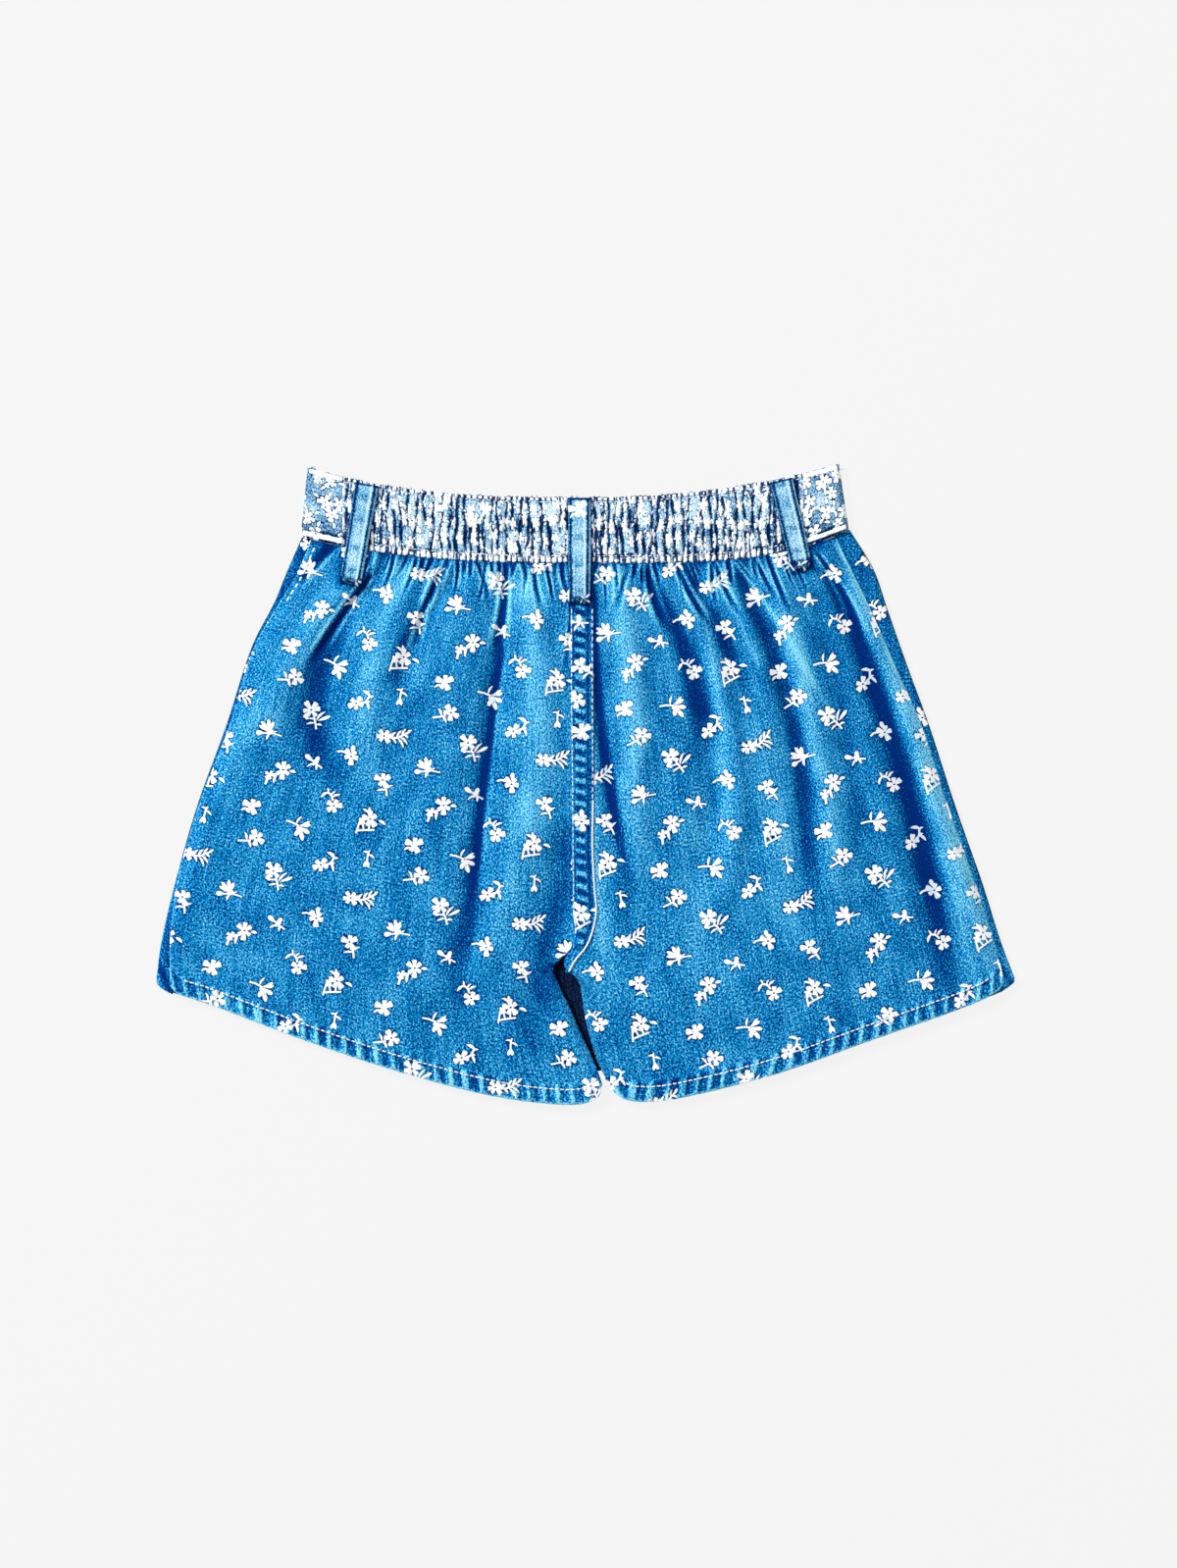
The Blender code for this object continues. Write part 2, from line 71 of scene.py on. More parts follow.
view_x, view_y = from_photo(PHOTO_SIZE[0] / 2, PHOTO_SIZE[1] / 2)
lens = bpy.data.cameras.new("camera_above")
lens.sensor_fit = "VERTICAL"
lens.sensor_height = SENSOR
lens.lens = SENSOR * CAMERA_HEIGHT / (PHOTO_SIZE[1] * PIXEL)
lens.clip_start = 0.05
camera = bpy.data.objects.new("camera_above", lens)
camera.location = (view_x * MM, view_y * MM, CAMERA_HEIGHT * MM)
bpy.context.scene.collection.objects.link(camera)
bpy.context.scene.camera = camera
bpy.context.scene.view_settings.view_transform = "Standard"
print("lens", round(lens.lens, 1), "mm")

# %% [markdown]
# Cloth shows its folds only when light rakes across it. The photograph is lit from the upper left,
# so a broad lamp stands there, fairly low, and a pale surround fills the shadows.
# The floor glows by itself, so it stays evenly pale and the garment's shadow as faint as in the
# picture.

# %% Light and floor
KEY_DISTANCE = 4.0  # m
KEY_LOW = math.radians(40)  # height of the lamp over the floor
KEY_ROUND = math.radians(142)  # its direction, from +X
KEY_SIZE = 1.2  # m across
KEY_POWER = 178.0  # W
FILL = 0.30
FLOOR_GREY = 0.05
FLOOR_GLOW = 0.868
FLOOR_REACH = 3.0  # m, each way
FLOOR_DROP = 0.0005  # m, below the cloth

key = bpy.data.lights.new("key_light", "AREA")
key.shape = "DISK"
key.size = KEY_SIZE
key.energy = KEY_POWER
key_place = Vector(
    (
        math.cos(KEY_LOW) * math.cos(KEY_ROUND),
        math.cos(KEY_LOW) * math.sin(KEY_ROUND),
        math.sin(KEY_LOW),
    )
)
lamp = bpy.data.objects.new("key_light", key)
lamp.location = key_place * KEY_DISTANCE
lamp.rotation_euler = key_place.to_track_quat("Z", "Y").to_euler()
bpy.context.scene.collection.objects.link(lamp)

world = bpy.data.worlds.new("pale_surround")
world.use_nodes = True
world.node_tree.nodes["Background"].inputs["Color"].default_value = (1.0, 1.0, 1.0, 1.0)
world.node_tree.nodes["Background"].inputs["Strength"].default_value = FILL
bpy.context.scene.world = world

floor_corners = [(a * FLOOR_REACH, b * FLOOR_REACH, 0.0) for a, b in ((-1, -1), (1, -1), (1, 1), (-1, 1))]
floor_mesh = bpy.data.meshes.new("floor")
floor_mesh.from_pydata(floor_corners, [], [(0, 1, 2, 3)])
floor_paint = bpy.data.materials.new("pale_floor")
floor_paint.use_nodes = True
floor_shader = floor_paint.node_tree.nodes["Principled BSDF"]
floor_shader.inputs["Base Color"].default_value = (FLOOR_GREY, FLOOR_GREY, FLOOR_GREY, 1.0)
floor_shader.inputs["Roughness"].default_value = 1.0
floor_shader.inputs["Specular IOR Level"].default_value = 0.0
floor_shader.inputs["Emission Color"].default_value = (1.0, 1.0, 1.0, 1.0)
floor_shader.inputs["Emission Strength"].default_value = FLOOR_GLOW
floor_mesh.materials.append(floor_paint)
floor = bpy.data.objects.new("floor", floor_mesh)
floor.location.z = -FLOOR_DROP
bpy.context.scene.collection.objects.link(floor)
print("floor and lamp are in place")

# %% [markdown]
# The cloth follows the garment's plan: tables of the outline, read as smooth curves.
# Whole arrays of points are worked out at once with numpy, which keeps a fine mesh quick to make.

# %% Sizes of the garment
GAP = 0.3  # between neighbouring pieces
CENTRE_X = -1.5  # the centre-back seam
BAND_LOW_Y = 112.6  # the waistband's lower edge at the centre back
BAND_HEIGHT = 33.4
BAND_TOP_Y = BAND_LOW_Y + BAND_HEIGHT
BAND_THICKNESS = 6.2
FRONT_TOP = 2.5  # upper face of the front legs
BACK_EDGE = 4.0  # upper face of a back leg where it lies flattest
RIB_BASE = 4.9  # upper face of the elastic waistband between its ribs
CLOTH = 0.9  # thickness of the denim
LEG_FOOT_Y, LEG_HEIGHT = -155.0, 270.0  # about, to start a search from

BandEnd = namedtuple("BandEnd", "low_x top_x elastic_x low_rise low_power top_rise top_power")
BAND_ENDS = {
    "left": BandEnd(-145.0, -141.5, -123.5, 13.4, 2.6, 16.2, 2.7),
    "right": BandEnd(134.0, 129.0, 110.5, 17.0, 3.8, 18.5, 2.2),
}
Side = namedtuple("Side", "y outline_x back_inset")
SIDES = {
    "left": (
        Side(125.8, -144.5, 5.0),
        Side(105.0, -153.5, 5.0),
        Side(93.8, -158.0, 2.5),
        Side(70.0, -170.0, 1.0),
        Side(30.0, -183.0, 1.5),
        Side(-10.0, -197.5, 0.8),
        Side(-50.0, -209.0, 1.0),
        Side(-80.0, -216.0, 4.5),
        Side(-98.8, -218.5, 7.3),
    ),
    "right": (
        Side(129.5, 134.5, 7.0),
        Side(109.8, 146.5, 10.0),
        Side(89.8, 153.5, 7.5),
        Side(60.0, 164.0, 5.0),
        Side(30.0, 175.0, 3.0),
        Side(-10.0, 188.0, 3.0),
        Side(-50.0, 202.0, 3.0),
        Side(-80.0, 211.5, 3.0),
        Side(-98.5, 218.5, 5.5),
    ),
}
Centre = namedtuple("Centre", "y left_x right_x front_setback")
CENTRE = (
    Centre(112.6, -1.5, -1.5, 0.0),
    Centre(50.0, -1.5, -1.5, 0.0),
    Centre(-25.0, -1.4, -1.4, 0.0),
    Centre(-65.0, -2.0, -2.0, 0.0),
    Centre(-80.0, -5.0, -5.0, 0.0),
    Centre(-88.0, -11.6, -10.6, 0.5),
    Centre(-93.0, -16.4, -10.8, 3.0),
    Centre(-97.5, -15.4, -5.8, 5.0),
    Centre(-102.0, -13.4, -3.0, 5.0),
    Centre(-112.0, -8.4, -1.4, 5.0),
    Centre(-123.0, -3.8, 0.6, 5.0),
    Centre(-137.0, 2.6, 4.6, 5.0),
    Centre(-145.0, 6.0, 7.8, 5.0),
    Centre(-152.5, 8.6, 12.5, 5.0),
)
Hem = namedtuple("Hem", "back_x back_y front_x front_y")
HEMS = {
    "left": (
        Hem(-211.2, -102.6, -218.5, -98.8),
        Hem(-206.5, -106.8, -215.0, -104.6),
        Hem(-191.5, -111.6, -203.5, -108.0),
        Hem(-143.5, -129.8, -143.5, -128.3),
        Hem(-95.5, -145.8, -95.5, -144.3),
        Hem(-47.5, -158.3, -47.5, -156.8),
        Hem(-10.0, -162.8, -14.0, -161.0),
        Hem(5.2, -159.8, -2.0, -158.5),
        Hem(8.6, -152.5, 2.0, -152.5),
    ),
    "right": (
        Hem(213.0, -100.3, 218.5, -98.5),
        Hem(208.5, -105.6, 213.5, -104.6),
        Hem(192.5, -113.3, 196.0, -111.3),
        Hem(144.5, -130.3, 144.5, -128.8),
        Hem(96.5, -147.3, 96.5, -145.8),
        Hem(48.5, -159.3, 48.5, -157.8),
        Hem(27.0, -161.2, 30.0, -159.6),
        Hem(16.5, -158.2, 20.5, -157.4),
        Hem(12.5, -152.5, 17.5, -152.5),
    ),
}
Loop = namedtuple("Loop", "name top_x top_y end_x end_y rounded")
LOOPS = (
    Loop("belt_loop_left", -111.0, 152.6, -119.5, 101.3, False),
    Loop("belt_loop_centre", -3.0, 145.6, -3.0, 91.3, False),
    Loop("belt_loop_right", 99.5, 154.6, 110.5, 108.3, True),
)
LOOP_WIDTH = 11.5
Strip = namedtuple("Strip", "y left_x right_x")
SEAM_STRIP = (  # the felled seam on top of the centre: it turns aside above the notch
    Strip(112.3, -7.6, 4.4),
    Strip(50.0, -7.8, 4.4),
    Strip(0.0, -7.2, 4.6),
    Strip(-30.0, -7.0, 4.2),
    Strip(-53.0, -6.7, 5.2),
    Strip(-64.0, -6.6, 6.1),
    Strip(-74.0, -5.6, 4.4),
    Strip(-83.0, -6.6, 0.6),
    Strip(-89.0, -9.0, -4.4),
    Strip(-95.5, -10.4, -8.0),
)
print("plan tables:", len(SIDES["left"]) + len(SIDES["right"]) + len(CENTRE), "rows")


# %% Curves through the tables
def mix(start, end, share):
    return start + (end - start) * share


def ease(share):
    """Zero to one with a soft start and end; flat outside."""
    share = np.clip(share, 0.0, 1.0)
    return share * share * (3.0 - 2.0 * share)


def read_table(rows, column, y):
    """A column of a table that runs down in y, read smoothly between its rows."""
    heights = np.array([row.y for row in rows])
    values = np.array([getattr(row, column) for row in rows])
    last = len(rows) - 1
    before = np.maximum(np.arange(last + 1) - 1, 0)
    after = np.minimum(np.arange(last + 1) + 1, last)
    slopes = (values[after] - values[before]) / (heights[after] - heights[before])
    y = np.asarray(y, float)
    index = np.minimum((heights[1:] > y[..., None]).sum(-1), last - 1)
    step = heights[index + 1] - heights[index]
    t = (y - heights[index]) / step
    return (
        values[index] * (1 + 2 * t) * (1 - t) ** 2
        + values[index + 1] * t * t * (3 - 2 * t)
        + step * slopes[index] * t * (1 - t) ** 2
        + step * slopes[index + 1] * t * t * (t - 1)
    )


def smooth_line(points, steps=10):
    """Closely spaced points of a Catmull-Rom curve through a few."""
    points = np.array(points, float)
    padded = np.vstack([2 * points[0] - points[1], points, 2 * points[-1] - points[-2]])
    t = (np.arange(steps) / steps)[:, None]
    line = []
    for before, start, end, after in zip(padded, padded[1:], padded[2:], padded[3:]):
        line.append(
            0.5
            * (
                2 * start
                + (end - before) * t
                + (2 * before - 5 * start + 4 * end - after) * t**2
                + (3 * start - before - 3 * end + after) * t**3
            )
        )
    return np.vstack([*line, points[-1:]])


def along(line, share):
    """The points of a line at shares of its length."""
    run = np.concatenate([[0.0], np.cumsum(np.linalg.norm(np.diff(line, axis=0), axis=1))])
    where = np.asarray(share) * run[-1]
    return np.interp(where, run, line[:, 0]), np.interp(where, run, line[:, 1])


# %% Plan of the waistband and the legs
def band_curve(x, base, rise, power):
    """An edge of the waistband: level at the centre back, climbing towards each end."""
    x = np.asarray(x, float)
    left, right = BAND_ENDS["left"], BAND_ENDS["right"]
    is_left = x < CENTRE_X
    reach = np.where(is_left, left.low_x, right.low_x) - CENTRE_X
    climb = np.where(is_left, getattr(left, rise), getattr(right, rise))
    bend = np.where(is_left, getattr(left, power), getattr(right, power))
    return base + climb * np.maximum((x - CENTRE_X) / reach, 0.0) ** bend


def band_low(x):
    return band_curve(x, BAND_LOW_Y, "low_rise", "low_power")


def band_top(x):
    return band_curve(x, BAND_TOP_Y, "top_rise", "top_power")


def outward(side):
    return -1.0 if side == "left" else 1.0


def side_x(side, layer, y):
    """The side edge of a leg."""
    x = read_table(SIDES[side], "outline_x", y)
    if layer == "back":
        x = x - outward(side) * read_table(SIDES[side], "back_inset", y)
    return x


def centre_x(side, layer, y):
    """The inner edge of a leg: half a gap from the seam, and the inside leg below it."""
    x = read_table(CENTRE, side + "_x", y) + outward(side) * GAP / 2
    if layer == "front":
        x = x + outward(side) * np.maximum(read_table(CENTRE, "front_setback", y), 0.0)
    return x


INNER_BEND = 4  # how closely the cloth keeps the bend of its inner edge to that edge
FIND_STEPS, FIND_STRIDE = 12, 0.1  # of the search for a place in the plan


class LegPlan:
    """A leg seen from above: s runs from the side (0) to the centre (1), v from hem to waist."""

    def __init__(self, side, layer):
        self.side, self.layer = side, layer
        self.hem = smooth_line([(getattr(r, layer + "_x"), getattr(r, layer + "_y")) for r in HEMS[side]])
        self.side_top_x = float(side_x(side, layer, SIDES[side][0].y))
        self.side_top_y = float(band_low(self.side_top_x)) - GAP
        self.centre_top_y = BAND_LOW_Y - GAP

    def side_point(self, v):
        y = mix(self.hem[0][1], self.side_top_y, v)
        end_miss = self.hem[0][0] - side_x(self.side, self.layer, self.hem[0][1])
        top_miss = self.side_top_x - side_x(self.side, self.layer, self.side_top_y)
        return side_x(self.side, self.layer, y) + mix(end_miss, top_miss, v), y

    def centre_point(self, v):
        y = mix(self.hem[-1][1], self.centre_top_y, v)
        end_miss = self.hem[-1][0] - centre_x(self.side, self.layer, self.hem[-1][1])
        return centre_x(self.side, self.layer, y) + end_miss * (1 - ease(v / 0.06)), y

    def waist_point(self, s):
        x = mix(self.side_top_x, float(self.centre_point(1.0)[0]), s)
        return x, band_low(x) - GAP

    def point(self, s, v):
        """A Coons patch between the edges, whose inner one is straight, bent near that edge."""
        s, v = np.asarray(s, float), np.asarray(v, float)
        edges = zip(
            self.side_point(v),
            self.centre_point(v),
            self.waist_point(s),
            along(self.hem, s),
            self.hem[0],
            self.hem[-1],
            self.waist_point(0.0),
            self.waist_point(1.0),
        )
        place = []
        for side, centre, waist, hem, hem_side, hem_centre, waist_side, waist_centre in edges:
            straight = mix(hem_centre, waist_centre, v)
            corners = mix(mix(hem_side, hem_centre, s), mix(waist_side, waist_centre, s), v)
            bend = (centre - straight) * np.abs(s) ** INNER_BEND
            place.append(mix(side, straight, s) + mix(hem, waist, v) - corners + bend)
        return place[0], place[1]

    def width(self, v):
        return np.abs(self.side_point(v)[0] - self.centre_point(v)[0])

    def length(self, s):
        hem_x, hem_y = along(self.hem, s)
        waist_x, waist_y = self.waist_point(s)
        return np.hypot(hem_x - waist_x, hem_y - waist_y)

    def near(self, x, y, margin=10.0):
        """Whether a place is on the leg or close beside it."""
        low, high = self.hem[:, 1].min() - margin, self.side_top_y + margin
        if not low < y < high:
            return False
        edges = float(side_x(self.side, self.layer, y)), float(centre_x(self.side, self.layer, y))
        return min(edges) - margin < x < max(edges) + margin

    def find(self, x, y):
        """The s and v of places in the plan, by Newton's method."""
        x, y = np.asarray(x, float), np.asarray(y, float)
        share = (y - LEG_FOOT_Y) / LEG_HEIGHT
        side, centre = self.side_point(share)[0], self.centre_point(share)[0]
        s = np.clip((x - side) / (centre - side), 0.0, 1.0)
        hem, waist = along(self.hem, s)[1], self.waist_point(s)[1]
        v = np.clip((y - hem) / (waist - hem), 0.0, 1.0)
        nudge = 1e-4
        for _ in range(FIND_STEPS):
            at_x, at_y = self.point(s, v)
            sx, sy = self.point(s + nudge, v)
            vx, vy = self.point(s, v + nudge)
            a, b = (sx - at_x) / nudge, (vx - at_x) / nudge
            c, d = (sy - at_y) / nudge, (vy - at_y) / nudge
            turn = a * d - b * c
            turn = np.where(np.abs(turn) < 1.0, 1.0, turn)
            off_x, off_y = x - at_x, y - at_y
            step_s, step_v = (d * off_x - b * off_y) / turn, (a * off_y - c * off_x) / turn
            s = np.clip(s + np.clip(step_s, -FIND_STRIDE, FIND_STRIDE), -0.01, 1.01)
            v = np.clip(v + np.clip(step_v, -FIND_STRIDE, FIND_STRIDE), -0.01, 1.01)
        return np.clip(s, 0.0, 1.0), np.clip(v, 0.0, 1.0)


PLANS = {(side, layer): LegPlan(side, layer) for side in SIDES for layer in ("back", "front")}
hem_steps = np.diff(PLANS["left", "back"].hem, axis=0)
print("hem length of a leg:", round(float(np.linalg.norm(hem_steps, axis=1).sum())), "mm")

# %% [markdown]
# Gathered cloth falls in uneven folds. The long soft ones are placed one by one, each through three
# places down the leg; the short sharp creases start under the waistband, where the fullness is
# sewn in. Each point of the cloth also remembers how far it is on a ridge or in a furrow: a ridge is
# paler from rubbing in the wash and from painted highlight, a furrow darker from kept dye and painted shade.

# %% Folds and creases of the back legs
Fold = namedtuple("Fold", "top_x top_y mid_x mid_y end_x end_y top_width end_width height")
FOLDS = (
    Fold(-120, 102, -148, 64, -167, 15, 7, 11, 2.0),
    Fold(-110, 102, -134, 56, -128, -5, 5, 12, -2.3),
    Fold(-86, 104, -104, 62, -111, 5, 7, 13, 1.8),
    Fold(-69, 102, -84, 76, -94, 48, 3.5, 6, -1.6),
    Fold(-58, 100, -68, 50, -82, -40, 9, 16, 1.0),
    Fold(-40, 104, -47, 40, -66, -115, 5, 8, -2.4),
    Fold(-26, 95, -24, 15, -45, -75, 8, 11, 1.9),
    Fold(-24, 100, -19, 84, -14, 70, 3, 4, -1.2),
    Fold(-10, -30, -18, -75, -30, -125, 7, 12, -2.0),
    Fold(6, 55, 10, 10, 21, -48, 3, 4.5, -1.5),
    Fold(17, 104, 24, 50, 24, -40, 6, 9, 2.2),
    Fold(33, 102, 52, 64, 58, -50, 4.5, 9, -2.1),
    Fold(50, 100, 66, 60, 71, -60, 4, 7, 2.0),
    Fold(53, 106, 71, 74, 82, 52, 3, 5, -1.7),
    Fold(72, 104, 86, 72, 92, 10, 5, 9, 1.5),
    Fold(80, 102, 98, 60, 110, -60, 4, 8, -2.2),
    Fold(100, 96, 113, 40, 128, -70, 6, 10, 1.9),
    Fold(118, 92, 131, 35, 146, -60, 4, 7, -1.0),
    Fold(127, 103, 150, 42, 184, -98, 5.5, 9, -3.2),
    Fold(138, 102, 163, 42, 205, -92, 5, 8, 1.5),
)
# Sharp creases: three pixels of the photograph from the waistband down, half-width at the top and
# at the end, and depth, in mm.
Crease = namedtuple("Crease", "top mid end top_width end_width depth")
CREASES = (
    Crease((378, 562), (372, 580), (365, 600), 1.5, 1.0, 1.9),
    Crease((373, 594), (342, 638), (311, 690), 1.8, 3.2, 2.2),
    Crease((397, 570), (394, 578), (388, 588), 0.8, 0.7, 0.8),
    Crease((416, 567), (411, 578), (402, 592), 0.9, 1.0, 0.9),
    Crease((432, 567), (430, 580), (427, 598), 1.6, 0.7, 1.6),
    Crease((447, 590), (440, 606), (430, 630), 2.3, 1.8, 2.6),
    Crease((434, 616), (428, 640), (420, 668), 1.4, 2.6, 1.0),
    Crease((456, 569), (457, 577), (454, 586), 1.4, 0.7, 1.3),
    Crease((474, 568), (474, 577), (471, 589), 1.4, 0.8, 1.5),
    Crease((486, 573), (493, 590), (497, 622), 1.0, 1.6, 1.3),
    Crease((501, 570), (502, 582), (503, 600), 0.9, 0.9, 1.4),
    Crease((516, 584), (514, 614), (504, 672), 1.4, 3.0, 2.4),
    Crease((523, 571), (523, 577), (521, 584), 2.2, 1.2, 1.0),
    Crease((536, 582), (535, 598), (533, 616), 0.9, 0.8, 1.2),
    Crease((545, 573), (546, 596), (555, 628), 0.8, 2.0, 1.3),
    Crease((573, 573), (574, 590), (581, 612), 1.2, 1.4, 1.4),
    Crease((581, 620), (579, 660), (572, 700), 0.8, 1.4, 1.0),
    Crease((617, 574), (618, 582), (616, 592), 1.5, 0.8, 0.9),
    Crease((636, 592), (632, 606), (627, 628), 1.4, 2.4, 0.9),
    Crease((647, 571), (647, 580), (644, 594), 1.5, 0.8, 1.8),
    Crease((659, 573), (664, 600), (682, 648), 1.3, 3.0, 2.2),
    Crease((676, 574), (677, 582), (679, 590), 1.0, 0.7, 0.9),
    Crease((688, 572), (700, 600), (728, 644), 1.2, 2.4, 2.1),
    Crease((706, 573), (710, 580), (716, 590), 0.9, 0.8, 1.1),
    Crease((727, 572), (737, 596), (757, 634), 1.2, 2.0, 1.7),
    Crease((746, 567), (757, 580), (773, 601), 0.8, 1.2, 1.2),
    Crease((766, 564), (776, 584), (791, 614), 1.2, 1.6, 1.4),
    Crease((779, 561), (790, 590), (808, 634), 1.1, 1.8, 1.5),
    Crease((791, 561), (796, 572), (803, 584), 1.4, 1.0, 1.5),
    Crease((838, 572), (858, 604), (880, 664), 1.4, 2.8, 1.6),
    Crease((855, 550), (862, 566), (874, 588), 1.0, 1.4, 1.4),
)
PLEAT_GAPS = 5.5, 11.5  # mm between two small pleats under the waistband
PLEAT_DROPS = 8.0, 24.0  # mm that they reach down
PLEAT_HOOK = 1.7  # how far a pleat's top may bend aside
PLEAT_CLIMB, PLEAT_LEAN = 0.0009, 0.0022  # how it rises and leans away from the middle


def deal_pleats(seed):
    """Small pleats all along the gathered waist, leaning away from the middle as it spreads."""
    draw = random.Random(seed)
    x, pleats = BAND_ENDS["left"].elastic_x + 2.0, []
    while x < BAND_ENDS["right"].elastic_x:
        climb = (x - CENTRE_X) ** 2 * PLEAT_CLIMB
        drop = draw.uniform(*PLEAT_DROPS)
        lean = x * PLEAT_LEAN + draw.uniform(-0.12, 0.12)
        hook = draw.uniform(-PLEAT_HOOK, PLEAT_HOOK)
        pixels = []
        for share in (0.0, 0.45, 1.0):
            down = 3.0 + share * drop
            at_x = x + lean * down * (0.6 + 0.6 * share) + hook * (1 - share) ** 3
            at_y = BAND_LOW_Y + climb - down
            pixels.append((PHOTO_ORIGIN[0] + at_x / PIXEL, PHOTO_ORIGIN[1] - at_y / PIXEL))
        width = draw.uniform(0.8, 1.5)
        pleats.append(Crease(*pixels, width, 0.8 * width, draw.uniform(0.9, 1.9)))
        x += draw.uniform(*PLEAT_GAPS)
    return tuple(pleats)


# Bands of paler colour (strength above zero) and of darker colour along the folds: the wash's
# rubbing and kept dye, together with painted highlight and painted shade. Three places, half-widths
# and strength, much as the folds are.
Rub = namedtuple("Rub", Fold._fields)
RUB_AND_LIGHT_BANDS = (
    Rub(-128, 98, -154, 58, -178, 0, 7, 10, 0.38),
    Rub(-94, 106, -108, 60, -112, 0, 6, 8, 0.42),
    Rub(-30, 100, -25, 20, -43, -75, 8, 9, 0.60),
    Rub(15, 112, 23, 50, 23, -35, 6, 7, 0.70),
    Rub(60, 92, 68, 40, 71, -55, 3, 4, 0.50),
    Rub(103, 80, 118, 20, 128, -60, 5, 8, 0.60),
    Rub(140, 104, 165, 42, 205, -98, 7, 12, 0.90),
    Rub(4, -15, 7, -58, 15, -105, 3, 6, 0.55),
    Rub(74.5, 117, 96.5, 84, 121.5, 42, 1.2, 2.2, 0.95),
    Rub(70, 110, 79.5, 80, 90, 56, 1.2, 1.6, 0.70),
    Rub(43.5, 114, 48, 102, 52, 92, 1.1, 1.0, 0.80),
    Rub(140, 117, 159, 70, 176, 25, 1.6, 2.6, 0.60),
    Rub(124, 126, 145, 92, 157.5, 62, 1.6, 1.8, 0.60),
    Rub(-68.5, 113, -81, 89, -92, 66, 1.3, 1.8, 0.80),
    Rub(-53, 113, -48, 105, -45, 90, 1.2, 1.4, 0.70),
    Rub(-34, 113, -31, 105, -33, 94, 1.2, 1.2, 0.60),
    Rub(-14, 113, -12.5, 104, -9, 92, 1.1, 1.2, 0.70),
    Rub(-127, 119, -136, 109, -144, 100, 1.3, 1.0, 1.00),
    Rub(-132, 119, -139, 111, -145, 103, 4.0, 2.0, -1.00),
    Rub(-107.5, 119, -107.5, 111, -112, 101, 0.9, 1.0, 1.00),
    Rub(86, 30, 96, -20, 104, -85, 9, 14, 0.35),
    Rub(52, -20, 58, -70, 62, -120, 10, 12, 0.25),
    Rub(-112, 102, -135, 60, -130, 0, 3, 9, -0.62),
    Rub(-84, 88, -92, 72, -98, 50, 2.5, 5, -0.55),
    Rub(-41, 102, -47, 40, -67, -118, 3, 5, -0.55),
    Rub(-44, 60, -51, 6, -57, -52, 1.0, 1.8, -0.90),
    Rub(-41, 60, -48, 6, -53, -52, 1.2, 2.0, 0.60),
    Rub(-9, -25, -17, -75, -30, -138, 5, 9, -0.30),
    Rub(4.5, 90, 8.0, 30, 20.5, -42, 1.5, 3.0, -1.15),
    Rub(33, 102, 53, 62, 58, 20, 3.5, 6, -0.75),
    Rub(53, 106, 71, 72, 80, 50, 3, 5, -0.65),
    Rub(80, 102, 99, 55, 112, -65, 4, 7, -0.55),
    Rub(118, 92, 131, 35, 146, -60, 4, 7, -0.20),
    Rub(127, 104, 150, 42, 185, -100, 4.5, 7, -1.00),
)
PLEATS = deal_pleats(4)
print(len(FOLDS), "soft folds,", len(CREASES) + len(PLEATS), "sharp creases and", len(RUB_AND_LIGHT_BANDS), "rubs")


# %% Height of a fold and of a crease
CREASE_SHARE = 0.75  # how much of its tabled width a crease keeps
LIP_SHARE, LIP_AWAY, LIP_WIDTH = 0.50, 1.8, 0.8  # a lip's height, distance and width, by the crease


def bell(offset, width):
    """A soft bump of height one where the offset is zero."""
    return np.exp(-((offset / width) ** 2))


def through_three(top, mid, end, y):
    """The x of a bent line through three places, read at y."""
    (x0, y0), (x1, y1), (x2, y2) = top, mid, end
    return (
        x0 * (y - y1) * (y - y2) / ((y0 - y1) * (y0 - y2))
        + x1 * (y - y0) * (y - y2) / ((y1 - y0) * (y1 - y2))
        + x2 * (y - y0) * (y - y1) / ((y2 - y0) * (y2 - y1))
    )


def fold_height(fold, x, y):
    """What one soft fold adds: a ridge, or a furrow where its height is below zero."""
    reach = fold.top_y - fold.end_y
    line_x = through_three(
        (fold.top_x, fold.top_y), (fold.mid_x, fold.mid_y), (fold.end_x, fold.end_y), y
    )
    fading = ease((y - fold.end_y + 0.15 * reach) / (0.45 * reach)) * ease((fold.top_y + 14.0 - y) / 14.0)
    width = mix(fold.top_width, fold.end_width, np.clip((fold.top_y - y) / reach, 0.0, 1.0))
    away = np.clip((x - line_x) / width, -5.0, 5.0)
    return fold.height * fading * bell(away, 1.0)


def crease_depth(crease, x, y):
    """How deep a sharp crease is, and how far its two lips stand up."""
    top, mid, end = (from_photo(*pixel) for pixel in (crease.top, crease.mid, crease.end))
    reach = top[1] - end[1]
    fading = ease((y - end[1]) / (0.6 * reach)) * ease((top[1] + 5.0 - y) / 4.0)
    down = np.clip((top[1] - y) / reach, 0.0, 1.0)
    width = CREASE_SHARE * mix(crease.top_width, crease.end_width, down)
    away = np.clip((x - through_three(top, mid, end, y)) / width, -6.0, 6.0)
    deep = crease.depth * fading * np.exp(-(np.abs(away) ** 1.6))
    lips = LIP_SHARE * crease.depth * fading * bell(np.abs(away) - LIP_AWAY, LIP_WIDTH)
    return deep, lips


def sharp_creases(x, y):
    """The deepest crease and the highest lip at each place."""
    deep, lips = np.zeros_like(x), np.zeros_like(x)
    for crease in CREASES + PLEATS:
        one_deep, one_lips = crease_depth(crease, x, y)
        deep, lips = np.maximum(deep, one_deep), np.maximum(lips, one_lips)
    return deep, lips


# %% [markdown]
# Two small helpers serve every piece: how near a place is to a belt loop, whose shadow falls there,
# and a smooth irregular wave, since no ridge in real cloth is even.


# %% Beside the belt loops, and a wandering wave
def loop_run(loop):
    """A belt loop's length, and its direction from the lower end to the top."""
    length = math.hypot(loop.top_x - loop.end_x, loop.top_y - loop.end_y)
    return length, (loop.top_x - loop.end_x) / length, (loop.top_y - loop.end_y) / length


